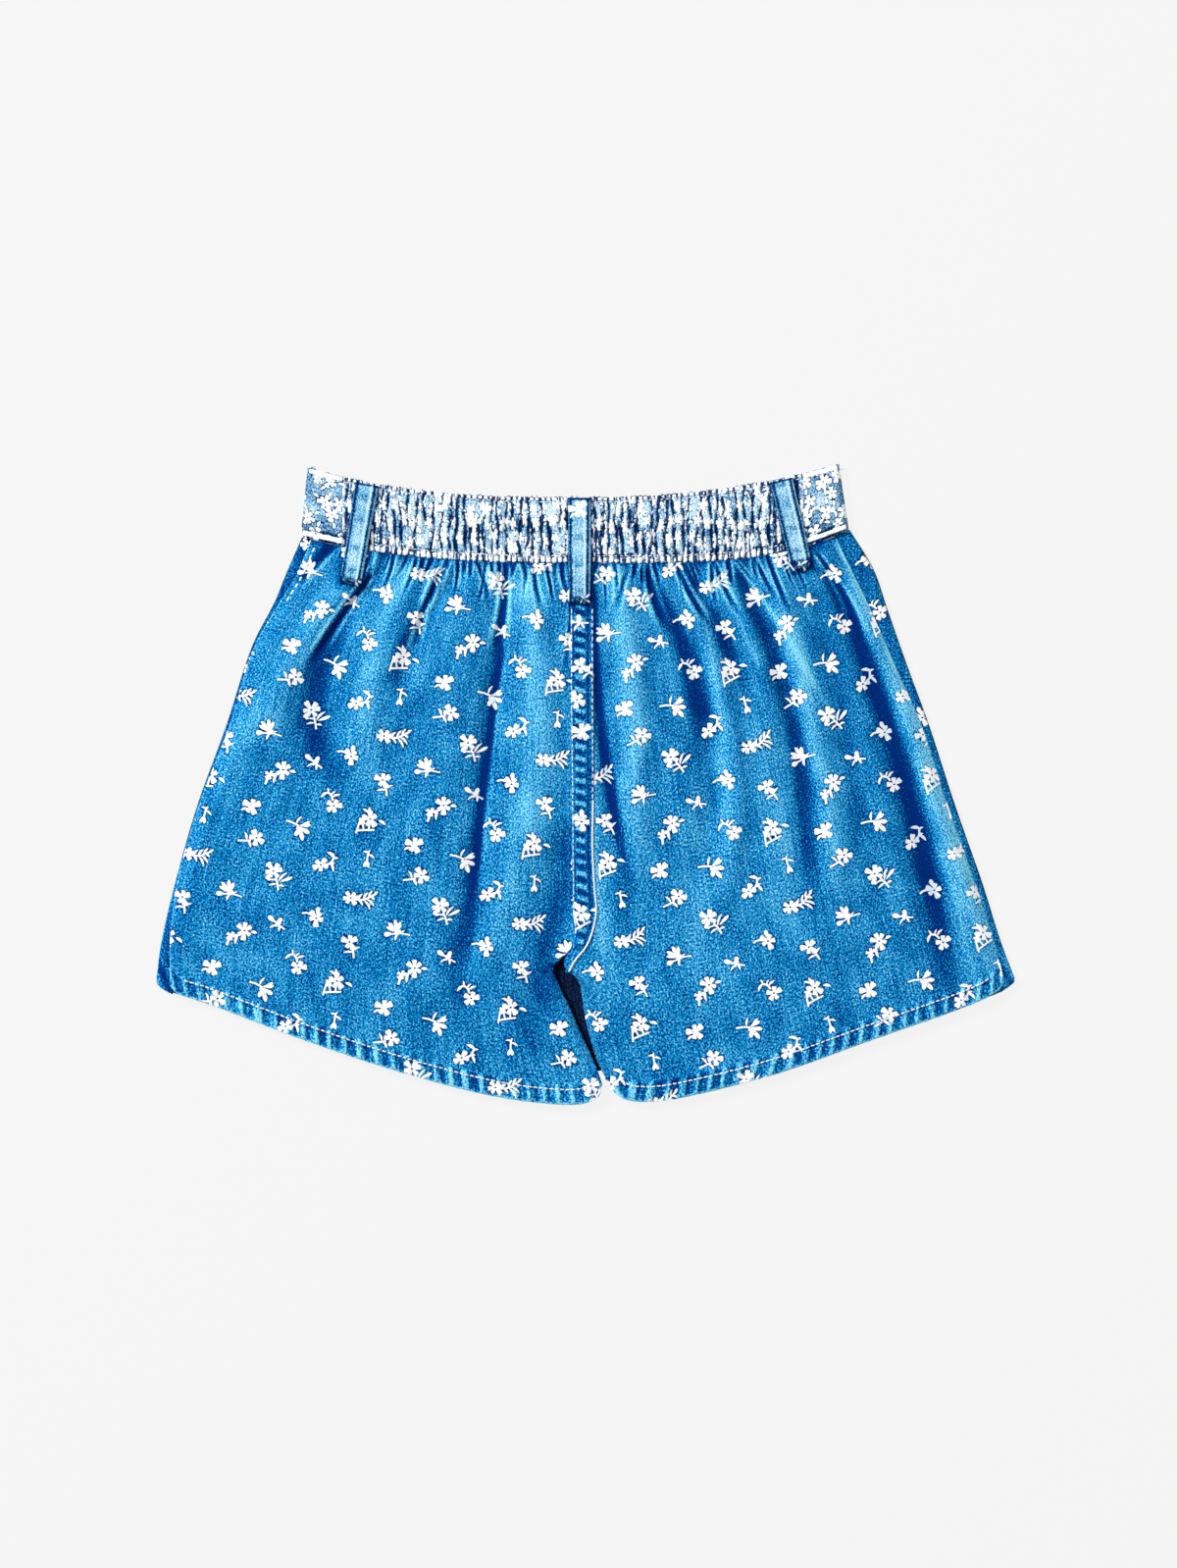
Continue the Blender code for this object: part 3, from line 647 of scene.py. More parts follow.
def beside_loops(x, y, reach=1.4):
    """One right beside a belt loop or below its end, fading out over a reach in mm."""
    near = np.zeros_like(x)
    for loop in LOOPS:
        length, ux, uy = loop_run(loop)
        up = (x - loop.end_x) * ux + (y - loop.end_y) * uy
        aside = np.abs((x - loop.end_x) * uy - (y - loop.end_y) * ux) - LOOP_WIDTH / 2
        away = np.hypot(np.maximum(aside, 0.0), np.maximum(-up, 0.0))
        near = np.maximum(near, np.exp(-away / reach) * (up < length))
    return near


def wander(x, y, size, seed):
    """A smooth irregular wave between -1 and 1, the same at every run."""
    a, b, c = 0.7 + 0.37 * seed, 1.9 + 0.61 * seed, 4.1 + 0.29 * seed
    u, w = np.asarray(x) / size, np.asarray(y) / size
    return (
        np.sin(u * 1.7 + 1.3 * np.sin(w * 0.9 + b) + a)
        + np.sin(w * 1.9 + 1.1 * np.sin(u * 1.3 + c) + b)
        + np.sin((u + w) * 1.2 + 1.7 * np.sin((u - w) * 0.7 + a) + c)
    ) / 3.0


# %% [markdown]
# The turned hem was stitched down and then washed: the thread shrank more than the cloth, so the
# hem has roped into short slanting puckers, paler on their ridges from rubbing and painted highlight,
# and darker between them with painted shade.

# %% Puckers of the hem
HEM_BAND = 9.0
ROPE_PITCH, FINE_PITCH = 7.4, 2.9  # of the large and the small puckers


def hem_puckers(x, y, run, from_hem):
    """The large puckers' wave, their pale streaks of wear and painted highlight, and the painted shade
    between them.
    """
    in_hem = 1 - ease((from_hem - HEM_BAND) / 2.0)
    rope = np.sin(2 * np.pi * (run + 0.15 * from_hem) / ROPE_PITCH + 2.0 * wander(x, y, 17.0, 3))
    fine = np.sin(2 * np.pi * (run + 0.25 * from_hem) / FINE_PITCH + 2.4 * wander(x, y, 9.0, 13))
    streak = np.clip((rope + 0.35 * fine - 0.55) / 0.35, 0, 1) * in_hem * (0.8 + 0.4 * wander(x, y, 14.0, 8))
    streak = np.maximum(streak, 0.45 * np.clip((fine - 0.55) / 0.35, 0, 1) * in_hem)
    patch = np.clip((0.45 - rope) / 0.7, 0, 1) * in_hem * (0.55 + 0.45 * wander(x, y, 23.0, 7))
    return in_hem, rope * in_hem * ease(from_hem / 2.0), streak, patch


# %% [markdown]
# The relief of a back leg adds all of this up: the plump cloth between folds, the gathers under the
# waistband, the rounding down to the side seam and the inside leg, and the hem. The same terms,
# weighted, say where its colour is paler and where darker: wear and painted highlight on ridges, lips
# and the side edge, kept dye and painted shade in furrows, creases and puckers, and painted shadow
# under the waistband and beside the belt loops.

# %% Relief of a back leg
PLUMP, WAIST_PLUMP, HEM_PLUMP = 2.6, 0.45, 0.4  # the last two as shares of the first
PLUMP_REACH, FOLD_REACH, HEM_REACH = 32.0, 22.0, 60.0  # mm over which each comes to its full height
GATHER_COUNT = 11
GATHER_RISE, GATHER_REACH = 1.7, 26.0
SIDE_ROUND, SLIT_ROUND = 8.5, 7.0
HEM_RISE, ROPE_RISE = 0.6, 0.55
HEM_DIP = 1.4  # the row of stitches, below the upper edge of the hem
CROTCH_Y = -88.0
# The pale weights carry wear and painted highlight, the dark ones kept dye, painted shade and the painted
# shadows under the waistband and beside the belt loops.
RUB_AND_HIGHLIGHT_PALE, LIP_HIGHLIGHT, STREAK_PALE, FRINGE_PALE = 1.15, 2.4, 2.0, 1.6
RUB_AND_SHADE_DARK, CREASE_DARK, PATCH_DARK, STITCH_SHADE = 1.35, 1.2, 0.85, 1.4
WAIST_SHADOW, WAIST_SHADOW_LINE, LOOP_SHADOW = 0.60, 0.8, 0.85


def soft_floor(height, softness=0.5):
    """The height itself while it is well above zero, easing out to zero below."""
    return softness * np.log1p(np.exp(height / softness))


def leg_body(x, y, from_waist, from_hem):
    """The plump cloth with its long soft folds."""
    plump = PLUMP * mix(WAIST_PLUMP, 1.0, ease(from_waist / PLUMP_REACH))
    folds = sum(fold_height(fold, x, y) for fold in FOLDS)
    body = soft_floor(plump + folds * mix(0.35, 1.0, ease(from_waist / FOLD_REACH)))
    return body * mix(HEM_PLUMP, 1.0, ease(from_hem / HEM_REACH))


def leg_gathers(s, from_waist):
    """The even small gathers right under the waistband."""
    uneven = s + 0.010 * np.sin(6 * np.pi * s)
    gather = GATHER_RISE * (0.5 - 0.5 * np.cos(2 * np.pi * GATHER_COUNT * uneven))
    return gather * (1 - ease(from_waist / GATHER_REACH))


def back_surface(plan, s, v):
    """Height of a back leg's outer face, with its pale and dark masks of wear, dye and painted light."""
    x, y = plan.point(s, v)
    length, width = plan.length(s), plan.width(v)
    from_waist, from_hem = (1 - v) * length, v * length
    from_side, from_centre = s * width, (1 - s) * width
    gather = leg_gathers(s, from_waist)
    deep, lips = sharp_creases(x, y)
    in_hem, rope, streak, patch = hem_puckers(x, y, from_side, from_hem)
    pull = ease(from_waist / 3.0) * 0.75 + 0.25
    body = np.maximum(leg_body(x, y, from_waist, from_hem) + 0.7 * gather + (lips - deep) * pull, 0.0)
    slit = ease((CROTCH_Y - y) / 10.0)
    rounding = ease(0.15 + 0.85 * from_side / SIDE_ROUND)
    rounding = rounding * mix(1.0, ease(0.15 + 0.85 * from_centre / SLIT_ROUND), slit)
    soft = 0.16 * wander(x, y, 6.0, 1) + 0.10 * wander(x, y, 2.6, 2)
    stitch_dip = 0.35 * bell(from_hem - HEM_BAND + HEM_DIP, 0.7)
    height = (body + soft * ease(from_side / 4.0)) * rounding + HEM_RISE * in_hem
    height = height + ROPE_RISE * rope - stitch_dip
    rub_and_light = sum(fold_height(rub, x, y) for rub in RUB_AND_LIGHT_BANDS)
    # A pale line along the side edge, painted highlight.
    edge_highlight = bell(from_side, 0.9) * (0.55 + 0.35 * wander(x, y, 11.0, 5))
    fringe = bell(from_hem, 0.8)
    # Pale: painted highlight with the wash's rubbing on the bands, painted highlight on the crease lips, wear
    # and painted highlight on the hem's pucker streaks, the side edge's highlight and the worn hem edge.
    pale = RUB_AND_HIGHLIGHT_PALE * np.clip(rub_and_light, 0, 1) + LIP_HIGHLIGHT * lips
    pale = pale + STREAK_PALE * streak + edge_highlight + FRINGE_PALE * fringe
    # Dark: kept dye with painted shade on the bands, in the creases and between the hem's puckers; painted
    # shade in the stitch groove; painted shadow under the waistband, less on its gathers, a line of it along
    # the band's edge, and the belt loops' painted shadow.
    dark = RUB_AND_SHADE_DARK * np.clip(-rub_and_light, 0, 1.1) + CREASE_DARK * deep
    dark = dark + PATCH_DARK * patch * (1 - fringe) + STITCH_SHADE * stitch_dip
    dark = dark + WAIST_SHADOW * (1 - 0.8 * gather / GATHER_RISE) * (1 - ease(from_waist / 8.0))
    dark = dark + WAIST_SHADOW_LINE * bell(from_waist, 0.9) + LOOP_SHADOW * beside_loops(x, y)
    return x, y, BACK_EDGE + np.maximum(height, -0.2), np.clip(pale, 0, 1.8), np.clip(dark, 0, 1.2)


test_places = np.array([[50.0, 150.0], [20.0, -80.0]])
test_plan = PLANS["right", "back"]
found_again = test_plan.point(*test_plan.find(*test_places))
print("a place is found again within", np.abs(np.array(found_again) - test_places).max(), "mm")

# %% [markdown]
# The print is a small repeat of fourteen sprigs. It could be painted by a texture, but its leaves
# are only a millimetre wide. Here each sprig is cut into the cloth's own mesh: its outlines become
# edges of the triangulation, and the faces inside them wear the white ink. They stay sharp at any
# distance and bend with every fold.


# %% Petals, leaves, stems and flowers
LEAF_SHARE = 0.86  # how much of its drawn width a leaf or a stem keeps in the print


def leaf(x0, y0, x1, y1, width, round_end=False):
    """A leaf from its stalk to its tip, or a bud, which is widest near its rounded end."""
    length = math.hypot(x1 - x0, y1 - y0)
    ux, uy = (x1 - x0) / length, (y1 - y0) / length
    stations = (0.0, 0.18, 0.42, 0.68, 0.88, 1.0)
    halves = (0.12, 0.45, 0.8, 1.0, 0.72, 0.28) if round_end else (0.15, 0.7, 1.0, 0.85, 0.5, 0.08)
    bow = 0.0 if round_end else 0.10 * length * (1 if x1 > x0 else -1)
    left, right = [], []
    for t, share in zip(stations, halves):
        off, half = bow * math.sin(math.pi * t), share * width * LEAF_SHARE / 2
        cx, cy = x0 + ux * length * t - uy * off, y0 + uy * length * t + ux * off
        left.append((cx - uy * half, cy + ux * half))
        right.append((cx + uy * half, cy - ux * half))
    return left + right[::-1]


def stem(points, width=0.85):
    """A thin bent stroke through a few points."""
    line = smooth_line(points, 3)
    run = np.gradient(line, axis=0)
    run /= np.linalg.norm(run, axis=1)[:, None]
    across = np.stack([-run[:, 1], run[:, 0]], axis=1) * width * LEAF_SHARE / 2
    return [tuple(p) for p in line + across] + [tuple(p) for p in (line - across)[::-1]]


PETAL = ((-0.70, 0.64), (-0.60, 0.88), (-0.3, 0.98), (0.0, 0.92), (0.3, 0.98), (0.60, 0.88), (0.70, 0.64))


def flower(x, y, size, turn=0.0, petals=5, slit=0.28):
    """A small open flower as one outline: broad uneven petals with thin slits between them."""
    outline = []
    for k in range(petals):
        own = size * (1.0 + 0.15 * math.sin(2.7 * k + 5.0 * turn + x))
        middle = turn + 2 * math.pi * k / petals + 0.15 * math.sin(4.1 * k + 3.0 * turn)
        for t, reach in PETAL:
            angle = middle + math.pi * t / petals
            outline.append((x + own * reach * math.cos(angle), y + own * reach * math.sin(angle)))
        angle = turn + 2 * math.pi * (k + 0.5) / petals
        outline.append((x + size * slit * math.cos(angle), y + size * slit * math.sin(angle)))
    return outline


def heart(x, y, size=0.72):
    """The dark dot in the middle of a flower."""
    return [(x + size * math.cos(a), y + 0.8 * size * math.sin(a)) for a in (0.3, 1.6, 2.8, 4.1, 5.3)]


def bloom(x, y, size, turn=0.0, petals=5):
    return [flower(x, y, size, turn, petals)], [heart(x, y)]


# %% [markdown]
# Each sprig is a few of those shapes, drawn upright in millimetres, white parts first and the dark
# dots after them. One repeat is a square of 84 mm; the chart says where each sprig sits in it.


# %% The sprigs and their repeat
def bouquet():
    white, dots = bloom(-4.4, 1.5, 5.4, 0.3, 6)
    white += [
        stem([(-2.2, -1.8), (-0.4, -4.8), (0.9, -8.2)], 1.3),
        leaf(-0.3, -3.5, 3.4, 2.6, 1.5),
        leaf(0.7, -3.3, 6.6, 0.8, 2.2, True),
        leaf(-0.6, -5.0, -5.0, -7.0, 1.3),
        leaf(-1.6, -3.2, -4.8, -3.6, 1.1),
        leaf(0.4, -5.6, 3.6, -5.2, 1.4),
    ]
    return white, dots + [heart(-4.9, -2.6, 0.5)]


def two_buds():
    white = [
        stem([(4.3, -1.5), (0.4, 0.0), (-3.4, 1.9)], 1.1),
        flower(0.1, 0.3, 2.1, 0.8, 4),
        leaf(-1.8, 1.0, -6.5, 3.4, 3.2, True),
        leaf(-0.3, 0.2, 0.9, 4.2, 2.9, True),
        leaf(-0.2, -0.1, -4.2, -3.0, 1.3),
        leaf(0.4, -0.3, 1.2, -3.4, 1.5),
    ]
    return white, []


def flower_with_stalk():
    white, dots = bloom(0.0, -0.4, 4.6, 1.1)
    white += [leaf(0.0, 1.6, 0.0, 5.9, 2.9, True), stem([(-3.0, 0.8), (-5.8, 1.3), (-8.2, 0.4)], 1.2)]
    return white, dots


def leafy_sprig():
    white, dots = bloom(0.0, 0.0, 4.3, 0.2, 6)
    white.append(stem([(2.0, -0.4), (6.9, 0.4), (10.2, 2.7), (13.4, 5.3)], 1.2))
    for x0, y0, x1, y1 in (
        (4.2, -0.2, 5.9, 3.6),
        (7.0, 0.5, 8.8, 5.0),
        (9.6, 2.2, 11.0, 6.4),
        (12.2, 4.2, 14.2, 6.4),
        (4.4, -0.2, 7.4, -2.8),
        (7.4, 0.4, 11.9, -4.4),
        (8.8, 1.2, 13.6, -2.0),
        (10.8, 2.8, 13.2, 1.8),
    ):
        white.append(leaf(x0, y0, x1, y1, 1.5))
    return white, dots + [heart(3.3, 1.9, 0.4)]


def flower_on_fork():
    white, dots = bloom(0.0, 0.0, 4.5, 0.5)
    white += [
        stem([(1.8, -2.8), (3.1, -5.2), (4.1, -8.3)], 1.2),
        leaf(2.9, -4.4, 6.2, -1.7, 1.3),
        leaf(3.0, -5.2, -2.2, -6.6, 1.4),
    ]
    return white, dots


def open_fan():
    white = [stem([(-1.0, -0.4), (2.6, -0.2), (6.5, -0.3)], 1.0), flower(-0.6, 0.2, 1.9, 0.4, 5, 0.7)]
    for tip_x, tip_y, width in ((-3.1, 6.6, 2.5), (0.1, 5.9, 2.4), (-6.5, 4.3, 2.5), (-7.1, 1.8, 2.2)):
        white.append(leaf(-0.6, 0.2, tip_x, tip_y, width, True))
    white += [
        stem([(-1.0, -0.4), (-2.6, -1.3), (-4.4, -1.5)], 1.0),
        leaf(-3.4, -1.4, -7.7, -2.5, 3.3, True),
        leaf(-0.2, -0.6, -1.0, -4.7, 1.7),
        leaf(1.2, -0.2, 3.4, 1.6, 1.0),
    ]
    return white, []


def flower_under_arch():
    white, dots = bloom(0.0, 0.0, 4.4, 0.2)
    white += [
        stem([(-1.2, 2.6), (-2.6, 5.2), (-5.2, 6.6)], 1.3),
        leaf(-4.8, 6.6, -8.2, 2.8, 1.8),
        leaf(-4.9, 6.3, -5.6, 9.1, 1.3),
        leaf(-1.9, 4.6, 2.1, 6.9, 1.5),
        leaf(-2.9, 5.4, -0.9, 8.0, 1.1),
    ]
    return white, dots


def cluster():
    white, dots = bloom(0.9, 0.6, 4.7, 0.6)
    white += [
        flower(-3.0, -0.8, 2.7, 0.4, 5),
        leaf(-0.8, 3.6, -4.3, 5.3, 1.6),
        leaf(-0.6, 3.6, -1.0, 7.0, 1.9),
        leaf(5.6, 0.7, 9.9, -0.9, 2.0),
        stem([(-4.3, -1.0), (-4.8, -4.4), (-5.1, -8.8)], 1.2),
        stem([(-4.8, -7.0), (0.0, -5.8), (4.4, -4.8)], 1.2),
        stem([(-2.6, -2.8), (-2.0, -4.6), (-1.4, -6.2)], 1.1),
        stem([(1.0, -3.2), (1.2, -4.4), (1.2, -5.6)], 1.1),
    ]
    return white, dots


def flower_and_small_one():
    white, dots = bloom(0.0, 0.0, 5.0, 0.7, 6)
    white += [
        flower(-6.4, -4.8, 2.9, 0.2, 5),
        leaf(3.6, 0.2, 7.2, 0.5, 2.0),
        stem([(-2.4, -2.8), (-3.4, -3.8), (-4.8, -4.6)], 1.1),
        stem([(-6.7, -6.0), (-7.1, -8.2), (-7.4, -10.4)], 1.5),
        leaf(-2.7, -3.4, -3.0, -8.7, 1.8),
    ]
    return white, dots


def lone_flower():
    return [flower(0.0, 0.0, 4.9, 0.45), leaf(-1.8, -1.8, -5.2, -3.9, 1.6)], [heart(-1.0, 0.2, 0.4)]


def tulip_branch():
    white = [
        stem([(-7.6, 0.7), (-3.8, 0.5), (0.4, -0.6)], 1.2),
        flower(1.2, -2.2, 2.2, 0.3, 5, 0.7),
        leaf(-1.6, 0.4, 0.3, 5.1, 1.5),
        leaf(0.4, 0.0, 6.1, 1.7, 2.6, True),
        leaf(1.6, 0.8, 5.3, 3.4, 1.6, True),
    ]
    for tip_x, tip_y in ((6.6, -2.8), (4.0, -7.7), (-0.6, -6.2)):
        white.append(leaf(0.8, -1.2, tip_x, tip_y, 2.9, True))
    return white, [heart(2.2, -3.9, 0.4)]


def hooked_flower():
    white, dots = bloom(0.0, 0.0, 4.4, 0.0)
    white += [
        stem([(2.4, 0.8), (4.8, 2.0), (6.3, 5.6)], 1.3),
        leaf(6.8, 5.5, 1.8, 7.7, 2.2),
        leaf(6.2, 5.2, 8.6, 5.7, 1.4),
        leaf(5.0, 2.4, 7.5, -2.0, 1.8),
        leaf(5.0, 2.2, 7.4, 2.4, 1.4),
    ]
    return white, dots


def sprout():
    white = [
        stem([(0.0, 0.6), (0.0, -2.4), (0.2, -5.0)], 1.2),
        leaf(0.2, -3.6, -1.0, -7.8, 2.2, True),
        leaf(0.2, -3.6, 1.6, -7.6, 2.2, True),
        leaf(0.3, 0.3, -3.0, 0.4, 1.3),
        leaf(0.0, 0.0, 0.7, 2.0, 1.2),
        leaf(0.1, -0.5, 3.9, -2.2, 1.4),
    ]
    return white, []


def flower_and_twig():
    white, dots = bloom(0.0, 0.0, 4.7, 0.9)
    white += [
        stem([(-2.6, -2.2), (-5.2, -3.0), (-9.6, -4.2)], 1.2),
        leaf(-4.8, -2.6, -7.4, 1.4, 1.5),
        leaf(-4.2, -2.8, -1.6, -6.0, 1.7),
    ]
    return white, dots


REPEAT = 84.0  # mm of cloth, both ways
Sprig = namedtuple("Sprig", "draw across down")
CHART = (
    Sprig(bouquet, -0.4, 0.8),
    Sprig(two_buds, 3.9, 25.3),
    Sprig(flower_with_stalk, 21.2, 17.0),
    Sprig(leafy_sprig, 35.7, 3.5),
    Sprig(flower_on_fork, 39.5, 25.5),
    Sprig(open_fan, 61.9, 16.1),
    Sprig(flower_under_arch, 17.9, 43.8),
    Sprig(cluster, 36.5, 46.8),
    Sprig(flower_and_small_one, 72.7, 32.6),
    Sprig(lone_flower, 61.6, 54.8),
    Sprig(tulip_branch, 3.0, 57.6),
    Sprig(hooked_flower, 17.9, 74.5),
    Sprig(sprout, 39.8, 63.5),
    Sprig(flower_and_twig, 67.8, 69.6),
)
print(len(CHART), "sprigs in a repeat of", REPEAT, "mm")

# %% [markdown]
# The cloth of a leg fans out from the waist, so the rows of sprigs run along arcs and each sprig
# leans outwards with the grain. The repeat is laid in such an arc's own coordinates.

# %% Lay the repeat along the grain
SPRIG_SIZE = 0.92  # of the sprigs as drawn above
Fan = namedtuple("Fan", "x y middle_angle start_angle start_reach")
FANS = {
    "left": Fan(37.0, 675.0, math.radians(-11.3), math.radians(-15.1), 661.6),
    "right": Fan(-91.0, 675.0, math.radians(14.5), math.radians(11.86), 675.2),
}
FAN_REACH = 700.0
COLUMNS, ROWS = range(-5, 6), range(-4, 5)  # the repeats that cover a leg


def add_sprig(draw, x, y, angle, print_shapes, size=1.0):
    """Add a sprig to the white outlines and the dark dots, turned and moved to its place."""
    cosine, sine = size * math.cos(angle), size * math.sin(angle)
    for shapes, drawn in zip(print_shapes, draw()):
        for shape in drawn:
            shapes.append([(x + a * cosine - b * sine, y + a * sine + b * cosine) for a, b in shape])


def laid_print(fan, inside):
    """White outlines and dark dots of every sprig of a leg, in the garment's plan."""
    shift = (fan.start_angle - fan.middle_angle) * math.sqrt(fan.start_reach * FAN_REACH)
    white, dots = [], []
    for column, row, sprig in itertools.product(COLUMNS, ROWS, CHART):
        reach = fan.start_reach + sprig.down + REPEAT * row
        angle = fan.middle_angle + (shift + sprig.across + REPEAT * column) / math.sqrt(reach * FAN_REACH)
        x, y = fan.x + reach * math.sin(angle), fan.y - reach * math.cos(angle)
        if inside(x, y):
            add_sprig(sprig.draw, x, y, angle, (white, dots), SPRIG_SIZE)
    return white, dots


# %% [markdown]
# Cutting the cloth: a grid of points fills the piece, its border and the print's outlines are
# forced in as edges, and a Delaunay triangulation joins everything without a sliver of overlap.


# %% Cut a piece of cloth with its print
TRIANGLES_INSIDE = 1  # the kind of triangulation that leaves out what lies outside the border
CUT_NEAR = 1e-4  # mm, below which two points are one


def leftwards(corners):
    """The numbers of a ring's points, in the order that runs anticlockwise."""
    turns = zip(corners, corners[1:] + corners[:1])
    area = sum(a[0] * b[1] - b[0] * a[1] for a, b in turns)
    numbers = [corner[2] for corner in corners]
    return numbers if area > 0 else numbers[::-1]


def cut_cloth(points, border, white=(), dots=()):
    """Plan points, triangles and an ink mask of a piece whose border is a ring of point numbers."""
    places = [Vector((x, y)) for x, y in points]
    faces = [leftwards([(*points[k], k) for k in border])]
    for shape in (*white, *dots):
        corners = [(x, y, len(places) + k) for k, (x, y) in enumerate(shape)]
        faces.append(leftwards(corners))
        places += [Vector((x, y)) for x, y in shape]
    first_dot = 1 + len(white)
    made = delaunay_2d_cdt(places, [], faces, TRIANGLES_INSIDE, CUT_NEAR)
    triangles, inked = [], []
    for triangle, sources in zip(made[2], made[5]):
        if 0 not in sources:
            continue
        triangles.append(triangle)
        inked.append(len(sources) > 1 and max(sources) < first_dot)
    used, numbers = np.unique(np.array(triangles), return_inverse=True)
    kept = np.array([tuple(v) for v in made[0]])[used]
    return kept, [tuple(t) for t in numbers.reshape(-1, 3).tolist()], np.array(inked)


def grid_points(columns, rows, place):
    """A grid of places and the ring of its border, from shares of its two directions."""
    a, b = np.meshgrid(columns, rows, indexing="ij")
    x, y = place(a.ravel(), b.ravel())
    nx, ny = len(columns), len(rows)
    ring = [i * ny for i in range(nx)] + [(nx - 1) * ny + j for j in range(1, ny)]
    ring += [i * ny + ny - 1 for i in range(nx - 2, -1, -1)] + [j for j in range(ny - 2, 0, -1)]
    return np.stack([x, y], axis=1), ring


# %% [markdown]
# A piece of cloth is made from its outer face alone. A Solidify modifier gives it its thickness, and
# it can dress the inner face in other materials, as printed denim is plain on its wrong side. What
# the colour needs to know goes into three attributes: pale (wear and painted highlight), dark (kept
# dye and painted shade), and the rim where ink meets cloth.

# %% Make a piece of cloth
Cloth = namedtuple("Cloth", "slot materials")  # materials of the outer face, then of the inner one
MASKS = "pale_mask", "dark_mask", "rim_mask"


def plain_masks(count, pale=0.0, dark=0.0):
    return np.full(count, pale), np.full(count, dark)


def ink_rim(count, triangles, parts):
    """One at the points where the print's faces meet the bare cloth."""
    rim = np.zeros(count)
    if max(parts) > 0:
        parts, faces = np.asarray(parts), np.asarray(triangles)
        rim[np.intersect1d(faces[parts > 0], faces[parts == 0])] = 1.0
    return rim


def make_cloth(name, xyz, triangles, cloth, parts, cloth_uv, masks, thickness=CLOTH):
    """A piece of cloth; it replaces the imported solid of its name, if there is one."""
    mesh = bpy.data.meshes.new(name)
    mesh.from_pydata((np.asarray(xyz) * MM).tolist(), [], triangles)
    for material in cloth.materials:
        mesh.materials.append(material)
    mesh.polygons.foreach_set("material_index", np.asarray(parts, np.int32))
    corner = np.empty(len(mesh.loops), np.int32)
    mesh.loops.foreach_get("vertex_index", corner)
    layer = mesh.uv_layers.new(name="cloth")
    layer.data.foreach_set("uv", (np.asarray(cloth_uv)[corner] * MM).ravel())
    for mask, values in zip(MASKS, (*masks, ink_rim(len(mesh.vertices), triangles, parts))):
        mesh.attributes.new(mask, "FLOAT", "POINT").data.foreach_set("value", np.asarray(values, float))
    mesh.shade_smooth()
    piece = bpy.data.objects.new(name, mesh)
    bpy.context.scene.collection.objects.link(piece)
    if thickness:
        shell = piece.modifiers.new("cloth", "SOLIDIFY")
        shell.thickness = thickness * MM
        shell.offset = -1.0
        shell.material_offset = len(cloth.materials) // 2
        shell.material_offset_rim = 0
    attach(piece, "root")
    solid = name.removeprefix("cloth_")
    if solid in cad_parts:
        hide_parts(solid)
    return piece


# %% [markdown]
# Denim is woven from indigo and white threads on a slant. From a distance it reads as blue with
# fine pale specks, faint streaks down the grain and cloudy patches from the wash. One node group
# makes all of that from the cloth's own coordinates; a material gives it three blues to mix.


# %% Node group of the washed weave
def new_group(name, inputs, outputs):
    group = bpy.data.node_groups.new(name, "ShaderNodeTree")
    for socket, kind, value in inputs:
        made = group.interface.new_socket(socket, in_out="INPUT", socket_type=kind)
        if value is not None:
            made.default_value = value
    for socket, kind in outputs:
        group.interface.new_socket(socket, in_out="OUTPUT", socket_type=kind)
    return group, group.nodes.new("NodeGroupInput"), group.nodes.new("NodeGroupOutput")


def node(tree, kind, links=None, **settings):
    """A node with its settings, whose inputs are numbers or other nodes' outputs."""
    made = tree.nodes.new(kind)
    for key_name, value in settings.items():
        setattr(made, key_name, value)
    for socket, value in (links or {}).items():
        if isinstance(value, bpy.types.NodeSocket):
            tree.links.new(value, made.inputs[socket])
        else:
            made.inputs[socket].default_value = value
    return made


def maths(tree, operation, *values, clamp=False):
    return node(
        tree, "ShaderNodeMath", dict(enumerate(values)), operation=operation, use_clamp=clamp
    ).outputs[0]


def stretched_noise(tree, vector, scale, detail, rough=0.55):
    """Noise over the cloth with its own scale in each direction, in lumps per metre."""
    scaled = node(tree, "ShaderNodeVectorMath", {0: vector, 1: (*scale, 1.0)}, operation="MULTIPLY")
    made = node(
        tree,
        "ShaderNodeTexNoise",
        {"Vector": scaled.outputs[0], "Scale": 1.0, "Detail": detail, "Roughness": rough},
        noise_dimensions="2D",
    )
    return made.outputs[0]


COLOUR, FLOAT, VECTOR = "NodeSocketColor", "NodeSocketFloat", "NodeSocketVector"
SPECKS, STREAKS, CLOUDS = (1250.0, 950.0), (700.0, 22.0), (85.0, 48.0)  # lumps per metre, across and down
SPECK_SWING, STREAK_SWING, CLOUD_SWING = 3.0, 0.40, 0.60  # how far each moves the tone, in all
# The pale mask carries wear and painted highlight, the dark mask kept dye and painted shade.
WORN_AND_LIT, DYED_AND_SHADED = 0.46, -0.72  # how far the two masks move it
PALE_BEND = 1.6  # keeps the palest blue for the strongest tones
TWILL = (6900.0, 5200.0, 0.0)  # the slanting ribs of the weave

